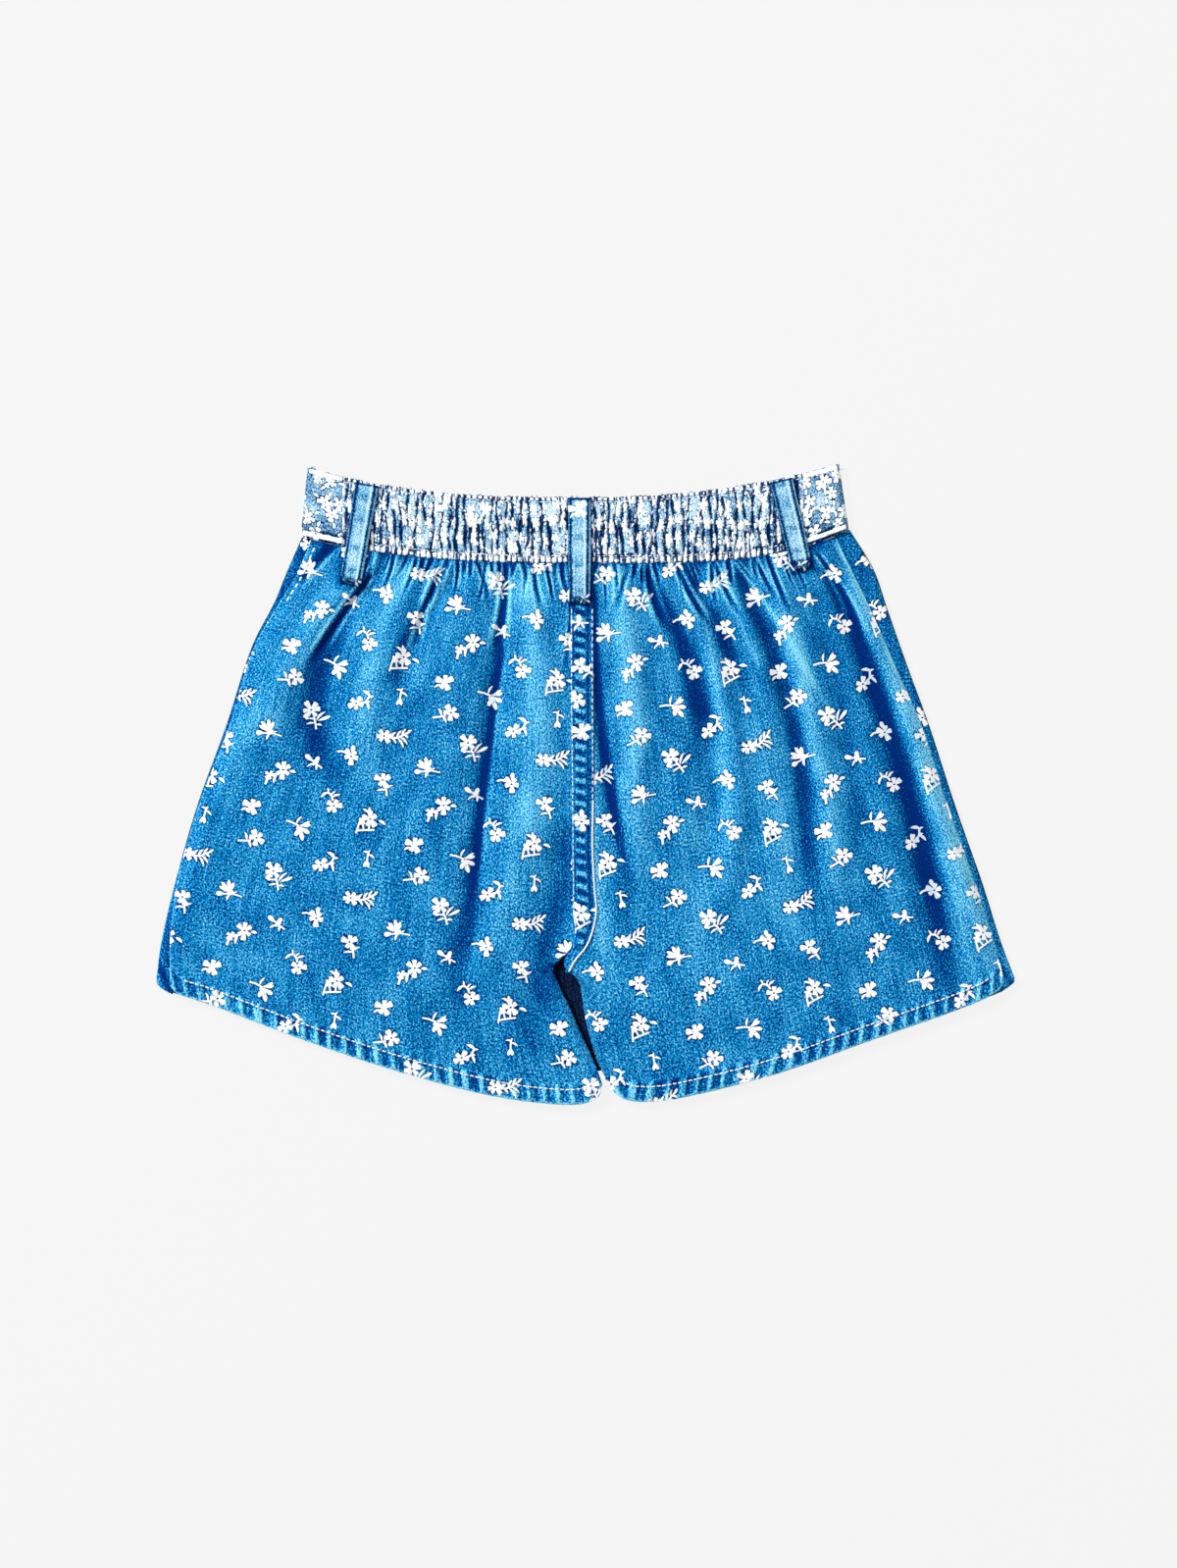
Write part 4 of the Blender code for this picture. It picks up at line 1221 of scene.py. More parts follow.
weave, weave_in, weave_out = new_group(
    "washed_weave",
    [
        ("Cloth", VECTOR, None),
        ("Pale Mask", FLOAT, 0.0),
        ("Dark Mask", FLOAT, 0.0),
        ("Dark", COLOUR, None),
        ("Middle", COLOUR, None),
        ("Pale", COLOUR, None),
        ("Speckle", FLOAT, 1.0),
        ("Tone", FLOAT, 0.5),
    ],
    [("Color", COLOUR), ("Height", FLOAT)],
)
cloth_at = weave_in.outputs["Cloth"]
specks = stretched_noise(weave, cloth_at, SPECKS, 2.0, 0.7)
streaks = stretched_noise(weave, cloth_at, STREAKS, 1.0)
clouds = stretched_noise(weave, cloth_at, CLOUDS, 3.0)
speck_part = maths(weave, "MULTIPLY_ADD", specks, SPECK_SWING, -SPECK_SWING / 2)
speck_part = maths(weave, "MULTIPLY", speck_part, weave_in.outputs["Speckle"])
tone = maths(weave, "ADD", weave_in.outputs["Tone"], speck_part)
for noise, swing in ((streaks, STREAK_SWING), (clouds, CLOUD_SWING)):
    tone = maths(weave, "ADD", tone, maths(weave, "MULTIPLY_ADD", noise, swing, -swing / 2))
for mask, weight in (("Pale Mask", WORN_AND_LIT), ("Dark Mask", DYED_AND_SHADED)):
    tone = maths(weave, "MULTIPLY_ADD", weave_in.outputs[mask], weight, tone)
low = maths(weave, "MULTIPLY", tone, 2.0, clamp=True)
high = maths(weave, "MULTIPLY_ADD", tone, 2.0, -1.0, clamp=True)
high = maths(weave, "POWER", high, PALE_BEND)


def mix_colours(tree, share, first, second):
    made = tree.nodes.new("ShaderNodeMix")
    made.data_type = "RGBA"
    for socket, value in (("Factor_Float", share), ("A_Color", first), ("B_Color", second)):
        target = next(s for s in made.inputs if s.identifier == socket)
        if isinstance(value, bpy.types.NodeSocket):
            tree.links.new(value, target)
        else:
            target.default_value = value
    return next(s for s in made.outputs if s.identifier == "Result_Color")


shade = mix_colours(weave, low, weave_in.outputs["Dark"], weave_in.outputs["Middle"])
shade = mix_colours(weave, high, shade, weave_in.outputs["Pale"])
weave.links.new(shade, weave_out.inputs["Color"])
slant = node(weave, "ShaderNodeVectorMath", {0: cloth_at, 1: TWILL}, operation="DOT_PRODUCT")
twill = maths(weave, "SINE", slant.outputs["Value"])
height = maths(weave, "MULTIPLY_ADD", twill, 0.3, maths(weave, "MULTIPLY", specks, 1.4))
weave.links.new(height, weave_out.inputs["Height"])
print("weave group has", len(weave.nodes), "nodes")

# %% [markdown]
# Each material of the garment gives the group its own three blues, from the darkest to the palest.
# White ink and thread are the same weave in whites. A trace of glow is painted light: it lifts the
# deepest shadows of each cloth and keeps the ink white in its folds.

# %% Materials of the cloth
DENIM_BLUES = ((0.0, 0.022, 0.17), (0.0, 0.305, 0.70), (0.31, 0.83, 1.0))
BAND_BLUES = ((0.001, 0.016, 0.08), (0.15, 0.40, 0.68), (0.72, 0.92, 0.99))
LOOP_BLUES = ((0.001, 0.02, 0.11), (0.10, 0.43, 0.74), (0.62, 0.88, 0.98))
# The wrong side is painted nearly black, as painted shade: it is seen only in the shadow of the leg openings
# and the slit.
SHADED_WRONG_SIDE_BLUES = ((0.0, 0.002, 0.014), (0.003, 0.010, 0.045), (0.02, 0.05, 0.13))
INK_WHITES = ((0.60, 0.72, 0.80), (0.96, 0.95, 0.94), (0.98, 0.98, 0.97))
# The band's darkest ink is navy, for the painted shade in the rib creases.
BAND_INK_WHITES = ((0.01, 0.04, 0.13), (0.72, 0.82, 0.90), (0.98, 0.98, 0.97))
THREAD_WHITES = ((0.30, 0.55, 0.72), (0.86, 0.92, 0.95), (0.97, 0.98, 0.98))
RIM_POWER = 2.2  # how thin the dark line beside the ink is
CLOTH_ROUGHNESS, CLOTH_SHINE = 0.9, 0.03
WEAVE_HEIGHT = 0.0003  # m


def cloth_material(name, colours, speckle=1.0, tone=0.5, bump=0.45, rim=0.0, painted_glow=0.0):
    material = bpy.data.materials.new(name)
    material.use_nodes = True
    tree = material.node_tree
    shader = tree.nodes["Principled BSDF"]
    shader.inputs["Roughness"].default_value = CLOTH_ROUGHNESS
    shader.inputs["Specular IOR Level"].default_value = CLOTH_SHINE
    # The glow is painted light: it lifts the cloth's shadows and keeps the ink white in its folds.
    shader.inputs["Emission Strength"].default_value = painted_glow
    uv = node(tree, "ShaderNodeUVMap", uv_map="cloth").outputs[0]
    pale, dark, beside_ink = (
        node(tree, "ShaderNodeAttribute", attribute_name=mask).outputs["Fac"] for mask in MASKS
    )
    dark = maths(tree, "MULTIPLY_ADD", maths(tree, "POWER", beside_ink, RIM_POWER), rim, dark)
    used = tree.nodes.new("ShaderNodeGroup")
    used.node_tree = weave
    tree.links.new(uv, used.inputs["Cloth"])
    tree.links.new(pale, used.inputs["Pale Mask"])
    tree.links.new(dark, used.inputs["Dark Mask"])
    for socket, colour in zip(("Dark", "Middle", "Pale"), colours):
        used.inputs[socket].default_value = (*colour, 1.0)
    used.inputs["Speckle"].default_value = speckle
    used.inputs["Tone"].default_value = tone
    tree.links.new(used.outputs["Color"], shader.inputs["Base Color"])
    tree.links.new(used.outputs["Color"], shader.inputs["Emission Color"])
    relief = {"Height": used.outputs["Height"], "Strength": bump, "Distance": WEAVE_HEIGHT}
    tree.links.new(node(tree, "ShaderNodeBump", relief).outputs[0], shader.inputs["Normal"])
    return material


DENIM = cloth_material("washed_denim", DENIM_BLUES, speckle=0.95, tone=0.34, rim=0.9, painted_glow=0.10)
SHADED_WRONG_SIDE = cloth_material("denim_wrong_side", SHADED_WRONG_SIDE_BLUES)
INK = cloth_material("white_ink", INK_WHITES, speckle=0.30, tone=0.84, bump=0.3, painted_glow=0.16)
BAND = cloth_material("pale_band_denim", BAND_BLUES, speckle=0.9, tone=0.47, rim=1.1, painted_glow=0.06)
BAND_INK = cloth_material("worn_band_ink", BAND_INK_WHITES, speckle=0.40, tone=0.90, bump=0.3, painted_glow=0.25)
LOOP = cloth_material("belt_loop_denim", LOOP_BLUES, speckle=0.8, tone=0.52, painted_glow=0.04)
THREAD = cloth_material("pale_thread", THREAD_WHITES, speckle=0.4, tone=0.65, bump=0.2, painted_glow=0.08)
PRINTED = Cloth("printed_denim", (DENIM, INK, SHADED_WRONG_SIDE, SHADED_WRONG_SIDE))
PRINT_BELOW = Cloth("printed_denim", (SHADED_WRONG_SIDE, SHADED_WRONG_SIDE, DENIM, INK))
WRONG_SIDE_UP = Cloth("denim_inside", (SHADED_WRONG_SIDE, DENIM))
BAND_PRINTED = Cloth("band_denim", (BAND, BAND_INK, SHADED_WRONG_SIDE, SHADED_WRONG_SIDE))
LOOP_STRIP = Cloth("loop_denim", (LOOP, INK, LOOP, LOOP))
WEAVE_SHIFT = {  # mm, so that no two pieces show the same patch of the weave
    "side_fold": 150.0,
    "front": 300.0,
    "skirt": 500.0,
    "right_leg": 600.0,
    "elastic": 700.0,
    "plain_band": 900.0,
    "seam": 1200.0,
    "thread": 60.0,
    "loop": 40.0,
}
print("cloth materials:", [m.name for m in (DENIM, SHADED_WRONG_SIDE, INK, BAND, BAND_INK, LOOP, THREAD)])

# %% [markdown]
# The two back legs are the largest pieces. Their grid is finer near the waist, where the creases
# are sharp, and at the hem, where the puckers are short.

# %% The back legs
LEG_STEP, LEG_ACROSS = 0.85, 175.0  # mm between grid points, across a leg of about that width
LEG_ROWS = (0.05, 1.3), (0.68, 2.2), (0.94, 1.6), (1.0, 1.2)  # up to a share of the leg, mm apart
LEG_CLOTH = 190.0, 252.0  # mm of cloth, across a leg and down it
SURFACES = []  # outer faces that later pieces may lie on


def spaced(breaks, length=1.0):
    """Shares from 0 to 1 of a length: each break is an end and a spacing up to it."""
    values, at = [0.0], 0.0
    for end, step in breaks:
        count = max(1, round((end - at) / (step / length)))
        values += [at + (end - at) * (k + 1) / count for k in range(count)]
        at = end
    return np.array(values)


def even(count):
    return spaced([(1.0, 1 / count)])


def back_leg(side):
    plan = PLANS[side, "back"]
    columns, rows = spaced([(1.0, LEG_STEP)], LEG_ACROSS), spaced(LEG_ROWS, LEG_CLOTH[1])
    points, ring = grid_points(columns, rows, plan.point)
    white, dots = laid_print(FANS[side], plan.near)
    cut, triangles, inked = cut_cloth(points, ring, white, dots)
    s, v = plan.find(*cut.T)
    _, _, z, pale, dark = back_surface(plan, s, v)
    xyz = np.stack([*cut.T, z], axis=1)
    uv = np.stack([s * LEG_CLOTH[0], v * LEG_CLOTH[1]], axis=1)
    if side == "right":
        uv[:, 0] = WEAVE_SHIFT["right_leg"] - uv[:, 0]
    piece = make_cloth("cloth_back_" + side, xyz, triangles, PRINTED, inked, uv, (pale, dark))
    SURFACES.append((xyz, triangles))
    print(piece.name, len(xyz), "points", len(triangles), "faces, ink on", int(inked.sum()))
    return piece


back_legs = {side: back_leg(side) for side in SIDES}

# %% [markdown]
# The cloth that shows beside a back leg is the front leg's, folded round the side: its printed face
# comes up over the edge and meets the back leg in the side seam. Inside the leg openings the same
# cloth shows its plain wrong side, painted nearly black as painted shade. So each front leg is a flat
# sheet and a rounded side fold.

# %% The front legs and their side folds
FOLD_TUCK = 1.2  # how far the fold runs in under the back leg's edge
FOLD_EDGE, FOLD_CREST = 1.7, 3.9  # its heights at the outline and where it lies full
FOLD_ROUND = 3.0  # mm in from the outline over which it rounds up
FOLD_PRINT_LOW = -84.0
FOLD_LOW = 1.5  # how much lower it ends than the front leg's hem
FOLD_DROPS = {"left": 6.5, "right": 4.2}  # and how much lower still at its inner edge
# Painted shade on each side fold, deeper on the left, and on the fold's hem.
FOLD_SHADE = {"left": 0.50, "right": 0.22}
FOLD_HEM_SHADE = {"left": 0.6, "right": 0.1}
FOLD_TURN = 0.03  # how far its print is turned round the waist against the back leg's
FOLD_CLOTH = 0.6
OUTER_SHARE = 0.93  # beyond this share of the hem's reach the printed face is folded in


def front_leg(side):
    plan = PLANS[side, "front"]
    points, ring = grid_points(even(44), even(60), plan.point)
    cut, triangles, _ = cut_cloth(points, ring)
    x, y = cut.T
    xyz = np.stack([x, y, FRONT_TOP + 0.12 * wander(x, y, 9.0, 4)], axis=1)
    beside_fold = [min(abs(x[k]) for k in t) > OUTER_SHARE * abs(plan.hem[0][0]) for t in triangles]
    uv = cut + WEAVE_SHIFT["front"]
    masks = plain_masks(len(x))
    return make_cloth("cloth_front_" + side, xyz, triangles, WRONG_SIDE_UP, beside_fold, uv, masks)


def edge_at(plan, y):
    """The x of a leg's side edge at a height."""
    share = np.clip((y - plan.hem[0][1]) / (plan.side_top_y - plan.hem[0][1]), 0, 1)
    return plan.side_point(share)[0]


def side_fold(side):
    front, back, way = PLANS[side, "front"], PLANS[side, "back"], outward(side)
    hem_y = front.hem[0][1]

    def place(across, up):
        y = mix(hem_y - FOLD_LOW - FOLD_DROPS[side] * np.power(across, 0.6), front.side_top_y, up)
        return mix(edge_at(front, y), edge_at(back, y) - way * FOLD_TUCK, across), y

    def on_fold(x, y):
        return y > FOLD_PRINT_LOW and front.near(x, y) and way * (x - side_x(side, "back", y)) > 0

    points, ring = grid_points(spaced([(0.3, 0.06), (1.0, 0.1)]), even(130), place)
    fan = FANS[side]._replace(start_angle=FANS[side].start_angle + FOLD_TURN)
    white, dots = laid_print(fan, on_fold)
    cut, triangles, inked = cut_cloth(points, ring, white, dots)
    x, y = cut.T
    edge = np.abs(edge_at(front, y) - x)
    rise = np.sqrt(1 - (1 - np.clip(edge / FOLD_ROUND, 0, 1)) ** 2)
    in_hem = 1 - ease((y - hem_y - HEM_BAND) / 2.0)
    rope = np.sin(2 * np.pi * (x + 0.55 * y) / ROPE_PITCH) * in_hem
    z = mix(FOLD_EDGE, FOLD_CREST, rise) + 0.15 * wander(x, y, 5.0, 6) * rise + 0.3 * rope
    shadow = FOLD_SHADE[side] * mix(0.55, 1.0, ease((y + 40.0) / 120.0))
    # The rounded outline is paler as a painted highlight; the hem's pucker ridges are paler and less dark
    # from wear and painted highlight.
    pale = np.clip(0.5 * (1 - edge / 1.5) + 0.5 * rope, 0, 1)
    dark = np.clip(mix(shadow, FOLD_HEM_SHADE[side], in_hem) - 0.4 * rope, 0, 1)
    xyz, uv = np.stack([x, y, z], axis=1), cut + WEAVE_SHIFT["side_fold"]
    SURFACES.append((xyz, triangles))
    return make_cloth(
        "cloth_side_fold_" + side, xyz, triangles, PRINTED, inked, uv, (pale, dark), FOLD_CLOTH
    )


front_legs = {side: front_leg(side) for side in SIDES}
side_folds = {side: side_fold(side) for side in SIDES}
print("front legs and side folds:", len(front_legs) + len(side_folds))

# %% [markdown]
# Under the legs lies the panel that makes shorts into a skort. It faces the floor, so its printed
# side is underneath and its plain side is what a lifted hem would show, painted nearly black as painted
# shade.

# %% The skirt panel
SKIRT_INSET = 3.0
SKIRT_HEM_RISE = 5.0
SKIRT_TOP = 1.0
SKIRT_FAN = Fan(0.0, 3000.0, 0.0, 0.0, 3000.0)  # so far away that its rows run straight
SKIRT_BOX = (-225, 225), (-165, 130)


def skirt_place(across, up):
    """The panel's plan: the front legs' outline drawn in, with one hem right across."""
    s = 1 - np.abs(2 * across - 1)
    places = []
    for side in SIDES:
        plan = PLANS[side, "front"]
        inset = outward(side) * SKIRT_INSET
        side_at = plan.side_point(up)[0] - inset
        hem_y = mix(plan.hem[0][1] + SKIRT_INSET, plan.hem[-1][1] + SKIRT_HEM_RISE, s**0.8)
        waist_x = mix(plan.side_top_x - inset, CENTRE_X, s)
        places.append((mix(side_at, CENTRE_X, s), mix(hem_y, band_low(waist_x) - GAP, up)))
    left, right = places
    return np.where(across < 0.5, left[0], right[0]), np.where(across < 0.5, left[1], right[1])


def on_skirt(x, y):
    return SKIRT_BOX[0][0] < x < SKIRT_BOX[0][1] and SKIRT_BOX[1][0] < y < SKIRT_BOX[1][1]


points, ring = grid_points(even(80), even(60), skirt_place)
cut, triangles, inked = cut_cloth(points, ring, *laid_print(SKIRT_FAN, on_skirt))
xyz = np.stack([*cut.T, np.full(len(cut), SKIRT_TOP)], axis=1)
uv = cut + WEAVE_SHIFT["skirt"]
skirt = make_cloth("cloth_skirt_front", xyz, triangles, PRINT_BELOW, inked, uv, plain_masks(len(cut)))
print(skirt.name, len(triangles), "faces")

# %% [markdown]
# The waistband's cloth is a paler blue, so closely printed with small flowers that it reads as half
# white. Its flowers are laid in rows, each nudged a little off its place by a seeded draw.

# %% Print of the waistband
BAND_FLOWER = 3.9
BAND_PITCH = 9.4
PLAIN_FLOWERS = 0.88  # the size of those on the plain ends, as a share
BAND_LEAF_ENDS, BAND_LEAF_WIDTH = (3.6, 6.6), 1.5  # stalk and tip, from the flower's middle
ANY_TURN = 6.3  # about a full turn, for a seeded draw


def small_flowers(low, high, seed, share=1.0):
    """Close flowers, leaves and berries over a rectangle of cloth."""
    draw = random.Random(seed)
    white, dots = [], []
    rows = int((high[1] - low[1]) / BAND_PITCH) + 2
    columns = int((high[0] - low[0]) / BAND_PITCH) + 2
    for row in range(-1, rows):
        for column in range(-1, columns):
            x = low[0] + BAND_PITCH * (column + 0.5 * (row % 2)) + draw.uniform(-2.0, 2.0)
            y = low[1] + BAND_PITCH * (row + 0.35) * 0.92 + draw.uniform(-2.2, 2.2)
            size, turn = share * BAND_FLOWER * draw.uniform(0.75, 1.25), draw.uniform(0, ANY_TURN)
            white.append(flower(x, y, size, turn, draw.choice((5, 5, 6)), 0.34))
            dots.append(heart(x, y, 0.5))
            for _ in range(2):
                lean = draw.uniform(0, ANY_TURN)
                ends = [(x + r * math.cos(lean), y + r * math.sin(lean)) for r in BAND_LEAF_ENDS]
                white.append(leaf(*ends[0], *ends[1], BAND_LEAF_WIDTH))
    return white, dots


# %% [markdown]
# Elastic is stretched while it is sewn in; when it lets go, the cloth over it draws up into ribs
# with sharp creases between them, darkened with painted shade. The creases are dealt out unevenly by
# a seeded draw: each has its own place, waver, length and depth. Both edges are stitched down into a
# row of small teeth.


# %% The elastic waistband, ribbed
ELASTIC = BAND_ENDS["left"].elastic_x, BAND_ENDS["right"].elastic_x
ELASTIC_RUN = ELASTIC[1] - ELASTIC[0]
ELASTIC_ROWS = (0.2, 0.8), (0.88, 1.4), (1.0, 0.7)  # up to a share of the height, mm apart
ELASTIC_THICK = 1.9
GATHERED = 0.66  # the cloth's width after the elastic has drawn it up
RIB_GAPS = 2.5, 4.9  # the least and the most between two creases
RIB_RISE = 1.5
RIB_LENGTHS = (-0.2, 0.55), (0.4, 1.2), (-0.2, 0.75)  # of broken creases, as shares of the height
WHOLE_RIB, WHOLE_SHARE = (-0.2, 1.2), 0.72  # an unbroken crease, and how many are
TOOTH = 2.9  # pitch of the teeth along both edges
LOW_TEETH, TOP_TEETH = 0.110, 0.93  # where the stitches hold them, as shares of the height
RibCrease = namedtuple("RibCrease", "x sway phase low high depth width")


def deal_creases(seed):
    draw = random.Random(seed)
    x, creases = ELASTIC[0] + 2.0, []
    while x < ELASTIC[1] - 1.0:
        low, high = WHOLE_RIB if draw.random() < WHOLE_SHARE else draw.choice(RIB_LENGTHS)
        sway, phase = draw.uniform(0.3, 0.9), draw.uniform(0, ANY_TURN)
        depth, width = draw.uniform(0.75, 1.0), draw.uniform(0.45, 0.85)
        creases.append(RibCrease(x, sway, phase, low, high, depth, width))
        x += draw.uniform(*RIB_GAPS)
    return creases


RIB_CREASES = deal_creases(7)


def rib_creases(x, v):
    """How far the cloth is sunk between ribs, and the narrow lines of painted shade at their bottom."""
    sunk, narrow = np.zeros_like(x), np.zeros_like(x)
    for crease in RIB_CREASES:
        sway = crease.sway * np.sin(5.0 * v + crease.phase) + 0.35 * np.sin(13.0 * v + 2 * crease.phase)
        away = x - (crease.x + sway)
        fading = ease((v - crease.low) / 0.15) * ease((crease.high - v) / 0.15) * crease.depth
        broken = 0.72 + 0.28 * np.sin(19.0 * v + 3 * crease.phase)
        sunk = np.maximum(sunk, fading * (0.45 * bell(away, 1.5) + 0.55 * bell(away, 0.7)))
        narrow = np.maximum(narrow, fading * broken * bell(away, crease.width))
    return sunk, narrow


def rib_surface(x, y):
    """Height of the gathered waistband, round ribs between narrow creases, and its dark mask of painted
    shade.
    """
    v = (y - band_low(x)) / (band_top(x) - band_low(x))
    sunk, narrow = rib_creases(x, v)
    swell = np.sin(np.pi * np.clip(mix(0.14, 0.86, v), 0, 1))
    edges = 1 - ease((v - LOW_TEETH) / 0.03) + ease((v - TOP_TEETH) / 0.03)
    tooth = np.abs(np.sin(np.pi * (x + 0.5 * wander(x, y, 6.0, 21)) / TOOTH))
    between = (1 - tooth) ** 2 * edges
    held = bell(v - LOW_TEETH, 0.028) + 0.7 * bell(v - TOP_TEETH, 0.022)
    z = RIB_BASE + RIB_RISE * (1 - sunk) * swell + 0.22 * wander(x, y, 2.2, 9)
    z = z - 0.45 * held - 0.6 * between
    dashes = 0.55 + 0.45 * np.sin(2 * np.pi * x / TOOTH)
    # Painted shade in the creases, between the teeth and in dashes along the stitches, uneven darker patches,
    # and the belt loops' painted shadow.
    dark = np.maximum(np.maximum(2.5 * narrow, 1.6 * between), 1.3 * held * dashes)
    dark = dark + 0.85 * np.clip(wander(x * 2.6, y, 6.0, 24) - 0.05, 0, 1)
    return z, np.clip(dark + 1.1 * beside_loops(x, y, 0.9), 0, 1.5)


def elastic_place(across, up):
    x = mix(ELASTIC[0], ELASTIC[1], across)
    scallop = 0.5 * np.abs(np.sin(np.pi * x / TOOTH)) + 0.25 * np.sin(0.31 * x) - 0.3
    return x, mix(band_low(x) - 0.15 * scallop, band_top(x) + scallop, up)


def teeth():
    """The worn white teeth along both edges, where the stitches have drawn the cloth up."""
    white = []
    for number in range(int(ELASTIC_RUN / TOOTH)):
        x = (number + 0.5) * TOOTH + TOOTH * math.ceil(ELASTIC[0] / TOOTH)
        foot, head = float(band_low(x)), float(band_top(x))
        reach = 2.6 + 0.6 * math.sin(2.1 * number)
        low_tooth = (-0.9, 0.6), (0.9, 0.5), (1.2, 1.7), (0.8, reach), (-1.0, reach)
        top_tooth = (-1.0, -1.7), (1.0, -1.7), (0.8, -0.3), (-0.8, -0.3)
        white += [[(x + a, foot + b) for a, b in low_tooth], [(x + a, head + b) for a, b in top_tooth]]
    return white


points, ring = grid_points(
    spaced([(1.0, 0.4)], ELASTIC_RUN), spaced(ELASTIC_ROWS, BAND_HEIGHT), elastic_place
)
flat_corner = ELASTIC[0] + ELASTIC_RUN / GATHERED, BAND_TOP_Y + 16  # before it is gathered
white, dots = (
    [[(ELASTIC[0] + (a - ELASTIC[0]) * GATHERED, b) for a, b in shape] for shape in shapes]
    for shapes in small_flowers((ELASTIC[0], BAND_LOW_Y), flat_corner, 11)
)
cut, triangles, inked = cut_cloth(points, ring, white + teeth(), dots)
x, y = cut.T
z, dark = rib_surface(x, y)
# The ribs are paler wherever the painted shade is weak, a painted highlight, with uneven paler patches.
pale = np.clip(1.0 - dark, 0, 1) + 0.6 * wander(x * 2.2, y, 7.0, 22)
xyz, uv = np.stack([x, y, z], axis=1), cut + WEAVE_SHIFT["elastic"]
elastic = make_cloth(
    "cloth_waistband_back", xyz, triangles, BAND_PRINTED, inked, uv, (pale, dark), ELASTIC_THICK
)
SURFACES.append((xyz, triangles))
print(elastic.name, len(triangles), "faces,", len(RIB_CREASES), "creases")

# %% [markdown]
# The plain front half of the waistband is one strip: it lies under the back, turns round both ends
# and comes up on top as far as the elastic. It is cut flat, print and all, and then bent.

# %% The plain waistband
BAND_RADIUS = BAND_THICKNESS / 2
BAND_CLOTH = 1.6
BAND_JOIN = 0.03  # between the plain band and the elastic
BAND_STEP = 1.4  # mm between grid points, up the band
CORD_AT, CORD_HALF = 0.065, 0.035  # middle and half-width of its lower fold, as shares of the height
TOP_FOLD = 0.93, 0.99  # its worn upper edge, likewise
STRIP_RUNS = (15.0, math.pi * BAND_RADIUS, 273.0, math.pi * BAND_RADIUS, 17.0)
STRIP_STARTS = np.concatenate([[0.0], np.cumsum(STRIP_RUNS)])
STRIP_COUNTS = 14, 9, 110, 9, 15  # grid points along each run


def bent_band(run, up):
    """A flat strip's place in space: run along it, up from 0 to 1 across it."""
    part = np.clip(np.searchsorted(STRIP_STARTS, run, side="right") - 1, 0, 4)
    share = np.clip((run - STRIP_STARTS[part]) / np.array(STRIP_RUNS)[part], 0, 1)
    turns = {
        side: mix(end.low_x, end.top_x, up) - outward(side) * BAND_RADIUS for side, end in BAND_ENDS.items()
    }
    x, z = mix(turns["left"], turns["right"], share), np.zeros_like(run)
    for side, top_part, bend_part, outwards in (("left", 0, 1, share), ("right", 4, 3, 1 - share)):
        inner = BAND_ENDS[side].elastic_x + outward(side) * BAND_JOIN
        x = np.where(part == top_part, mix(inner, turns[side], outwards), x)
        z = np.where(part == top_part, BAND_THICKNESS, z)
        bent_x = turns[side] + outward(side) * BAND_RADIUS * np.sin(np.pi * outwards)
        x = np.where(part == bend_part, bent_x, x)
        z = np.where(part == bend_part, BAND_RADIUS + BAND_RADIUS * np.cos(np.pi * outwards), z)
    return x, mix(band_low(x), band_top(x), up), z, part


def worn_folds():
    """White strips where the band's lower fold and upper edge have worn, on its two top parts."""
    strips = []
    tops = (0.4, STRIP_STARTS[1] + 2.0), (STRIP_STARTS[4] - 2.0, STRIP_STARTS[5] - 0.4)
    folds = (CORD_AT - CORD_HALF, CORD_AT + CORD_HALF), TOP_FOLD
    for (start, end), (low, high) in itertools.product(tops, folds):
        corners = (start, low), (end, low), (end, high), (start, high)
        strips.append([(float(a), b * BAND_HEIGHT) for a, b in corners])
    return strips


def plain_relief(x, y, z, up, on_top):
    """The plain band's height and its dark mask, stitched down along its folds, with painted shade in the
    stitched grooves.
    """
    outline = bell(np.abs(up - CORD_AT) - CORD_HALF - 0.018, 0.016)
    top_line = bell(up - 0.915, 0.014)
    cushion = 0.5 * np.sin(np.pi * np.clip(up, 0, 1)) + 0.12 * wander(x, y, 4.0, 12)
    relief = cushion - 0.5 - 0.4 * outline - 0.35 * top_line + 0.35 * bell(up - CORD_AT, 0.03)
    # The dark in the stitched grooves and, on top, beside the belt loops is painted shade.
    dark = np.maximum(1.4 * outline, 1.2 * top_line * (0.7 + 0.3 * wander(x, y, 3.0, 30)))
    dark = np.where(on_top, np.maximum(dark, 0.9 * beside_loops(x, y)), 0.25)
    dark = dark + 0.35 * np.clip(wander(x, y, 3.4, 31) - 0.1, 0, 1)
    return z + np.where(on_top, relief, 0.0), np.clip(dark, 0, 1.2)


runs = zip(STRIP_STARTS, STRIP_STARTS[1:], STRIP_COUNTS)
columns = np.concatenate([*(np.linspace(a, b, n, endpoint=False) for a, b, n in runs), STRIP_STARTS[-1:]])
rows = spaced([(1.0, BAND_STEP)], BAND_HEIGHT) * BAND_HEIGHT
points, ring = grid_points(columns, rows, lambda a, b: (a, b))
white, dots = small_flowers((0.0, 0.0), (float(columns[-1]), BAND_HEIGHT), 5, PLAIN_FLOWERS)
flat, triangles, inked = cut_cloth(points, ring, white + worn_folds(), dots)
triangles = [t[::-1] for t in triangles]  # the strip runs leftwards on top, so its face turns over
up = flat[:, 1] / BAND_HEIGHT
x, y, z, part = bent_band(flat[:, 0], up)
on_top = (part == 0) | (part == 4)
z, dark = plain_relief(x, y, z, up, on_top)
pale = 0.1 + 1.2 * np.clip(wander(x, y, 5.5, 33), 0, 1)
xyz, uv = np.stack([x, y, z], axis=1), flat + WEAVE_SHIFT["plain_band"]
plain_band = make_cloth(
    "cloth_waistband_front", xyz, triangles, BAND_PRINTED, inked, uv, (pale, dark), BAND_CLOTH
)
SURFACES.append((xyz, [t for t in triangles if all(on_top[k] for k in t)]))
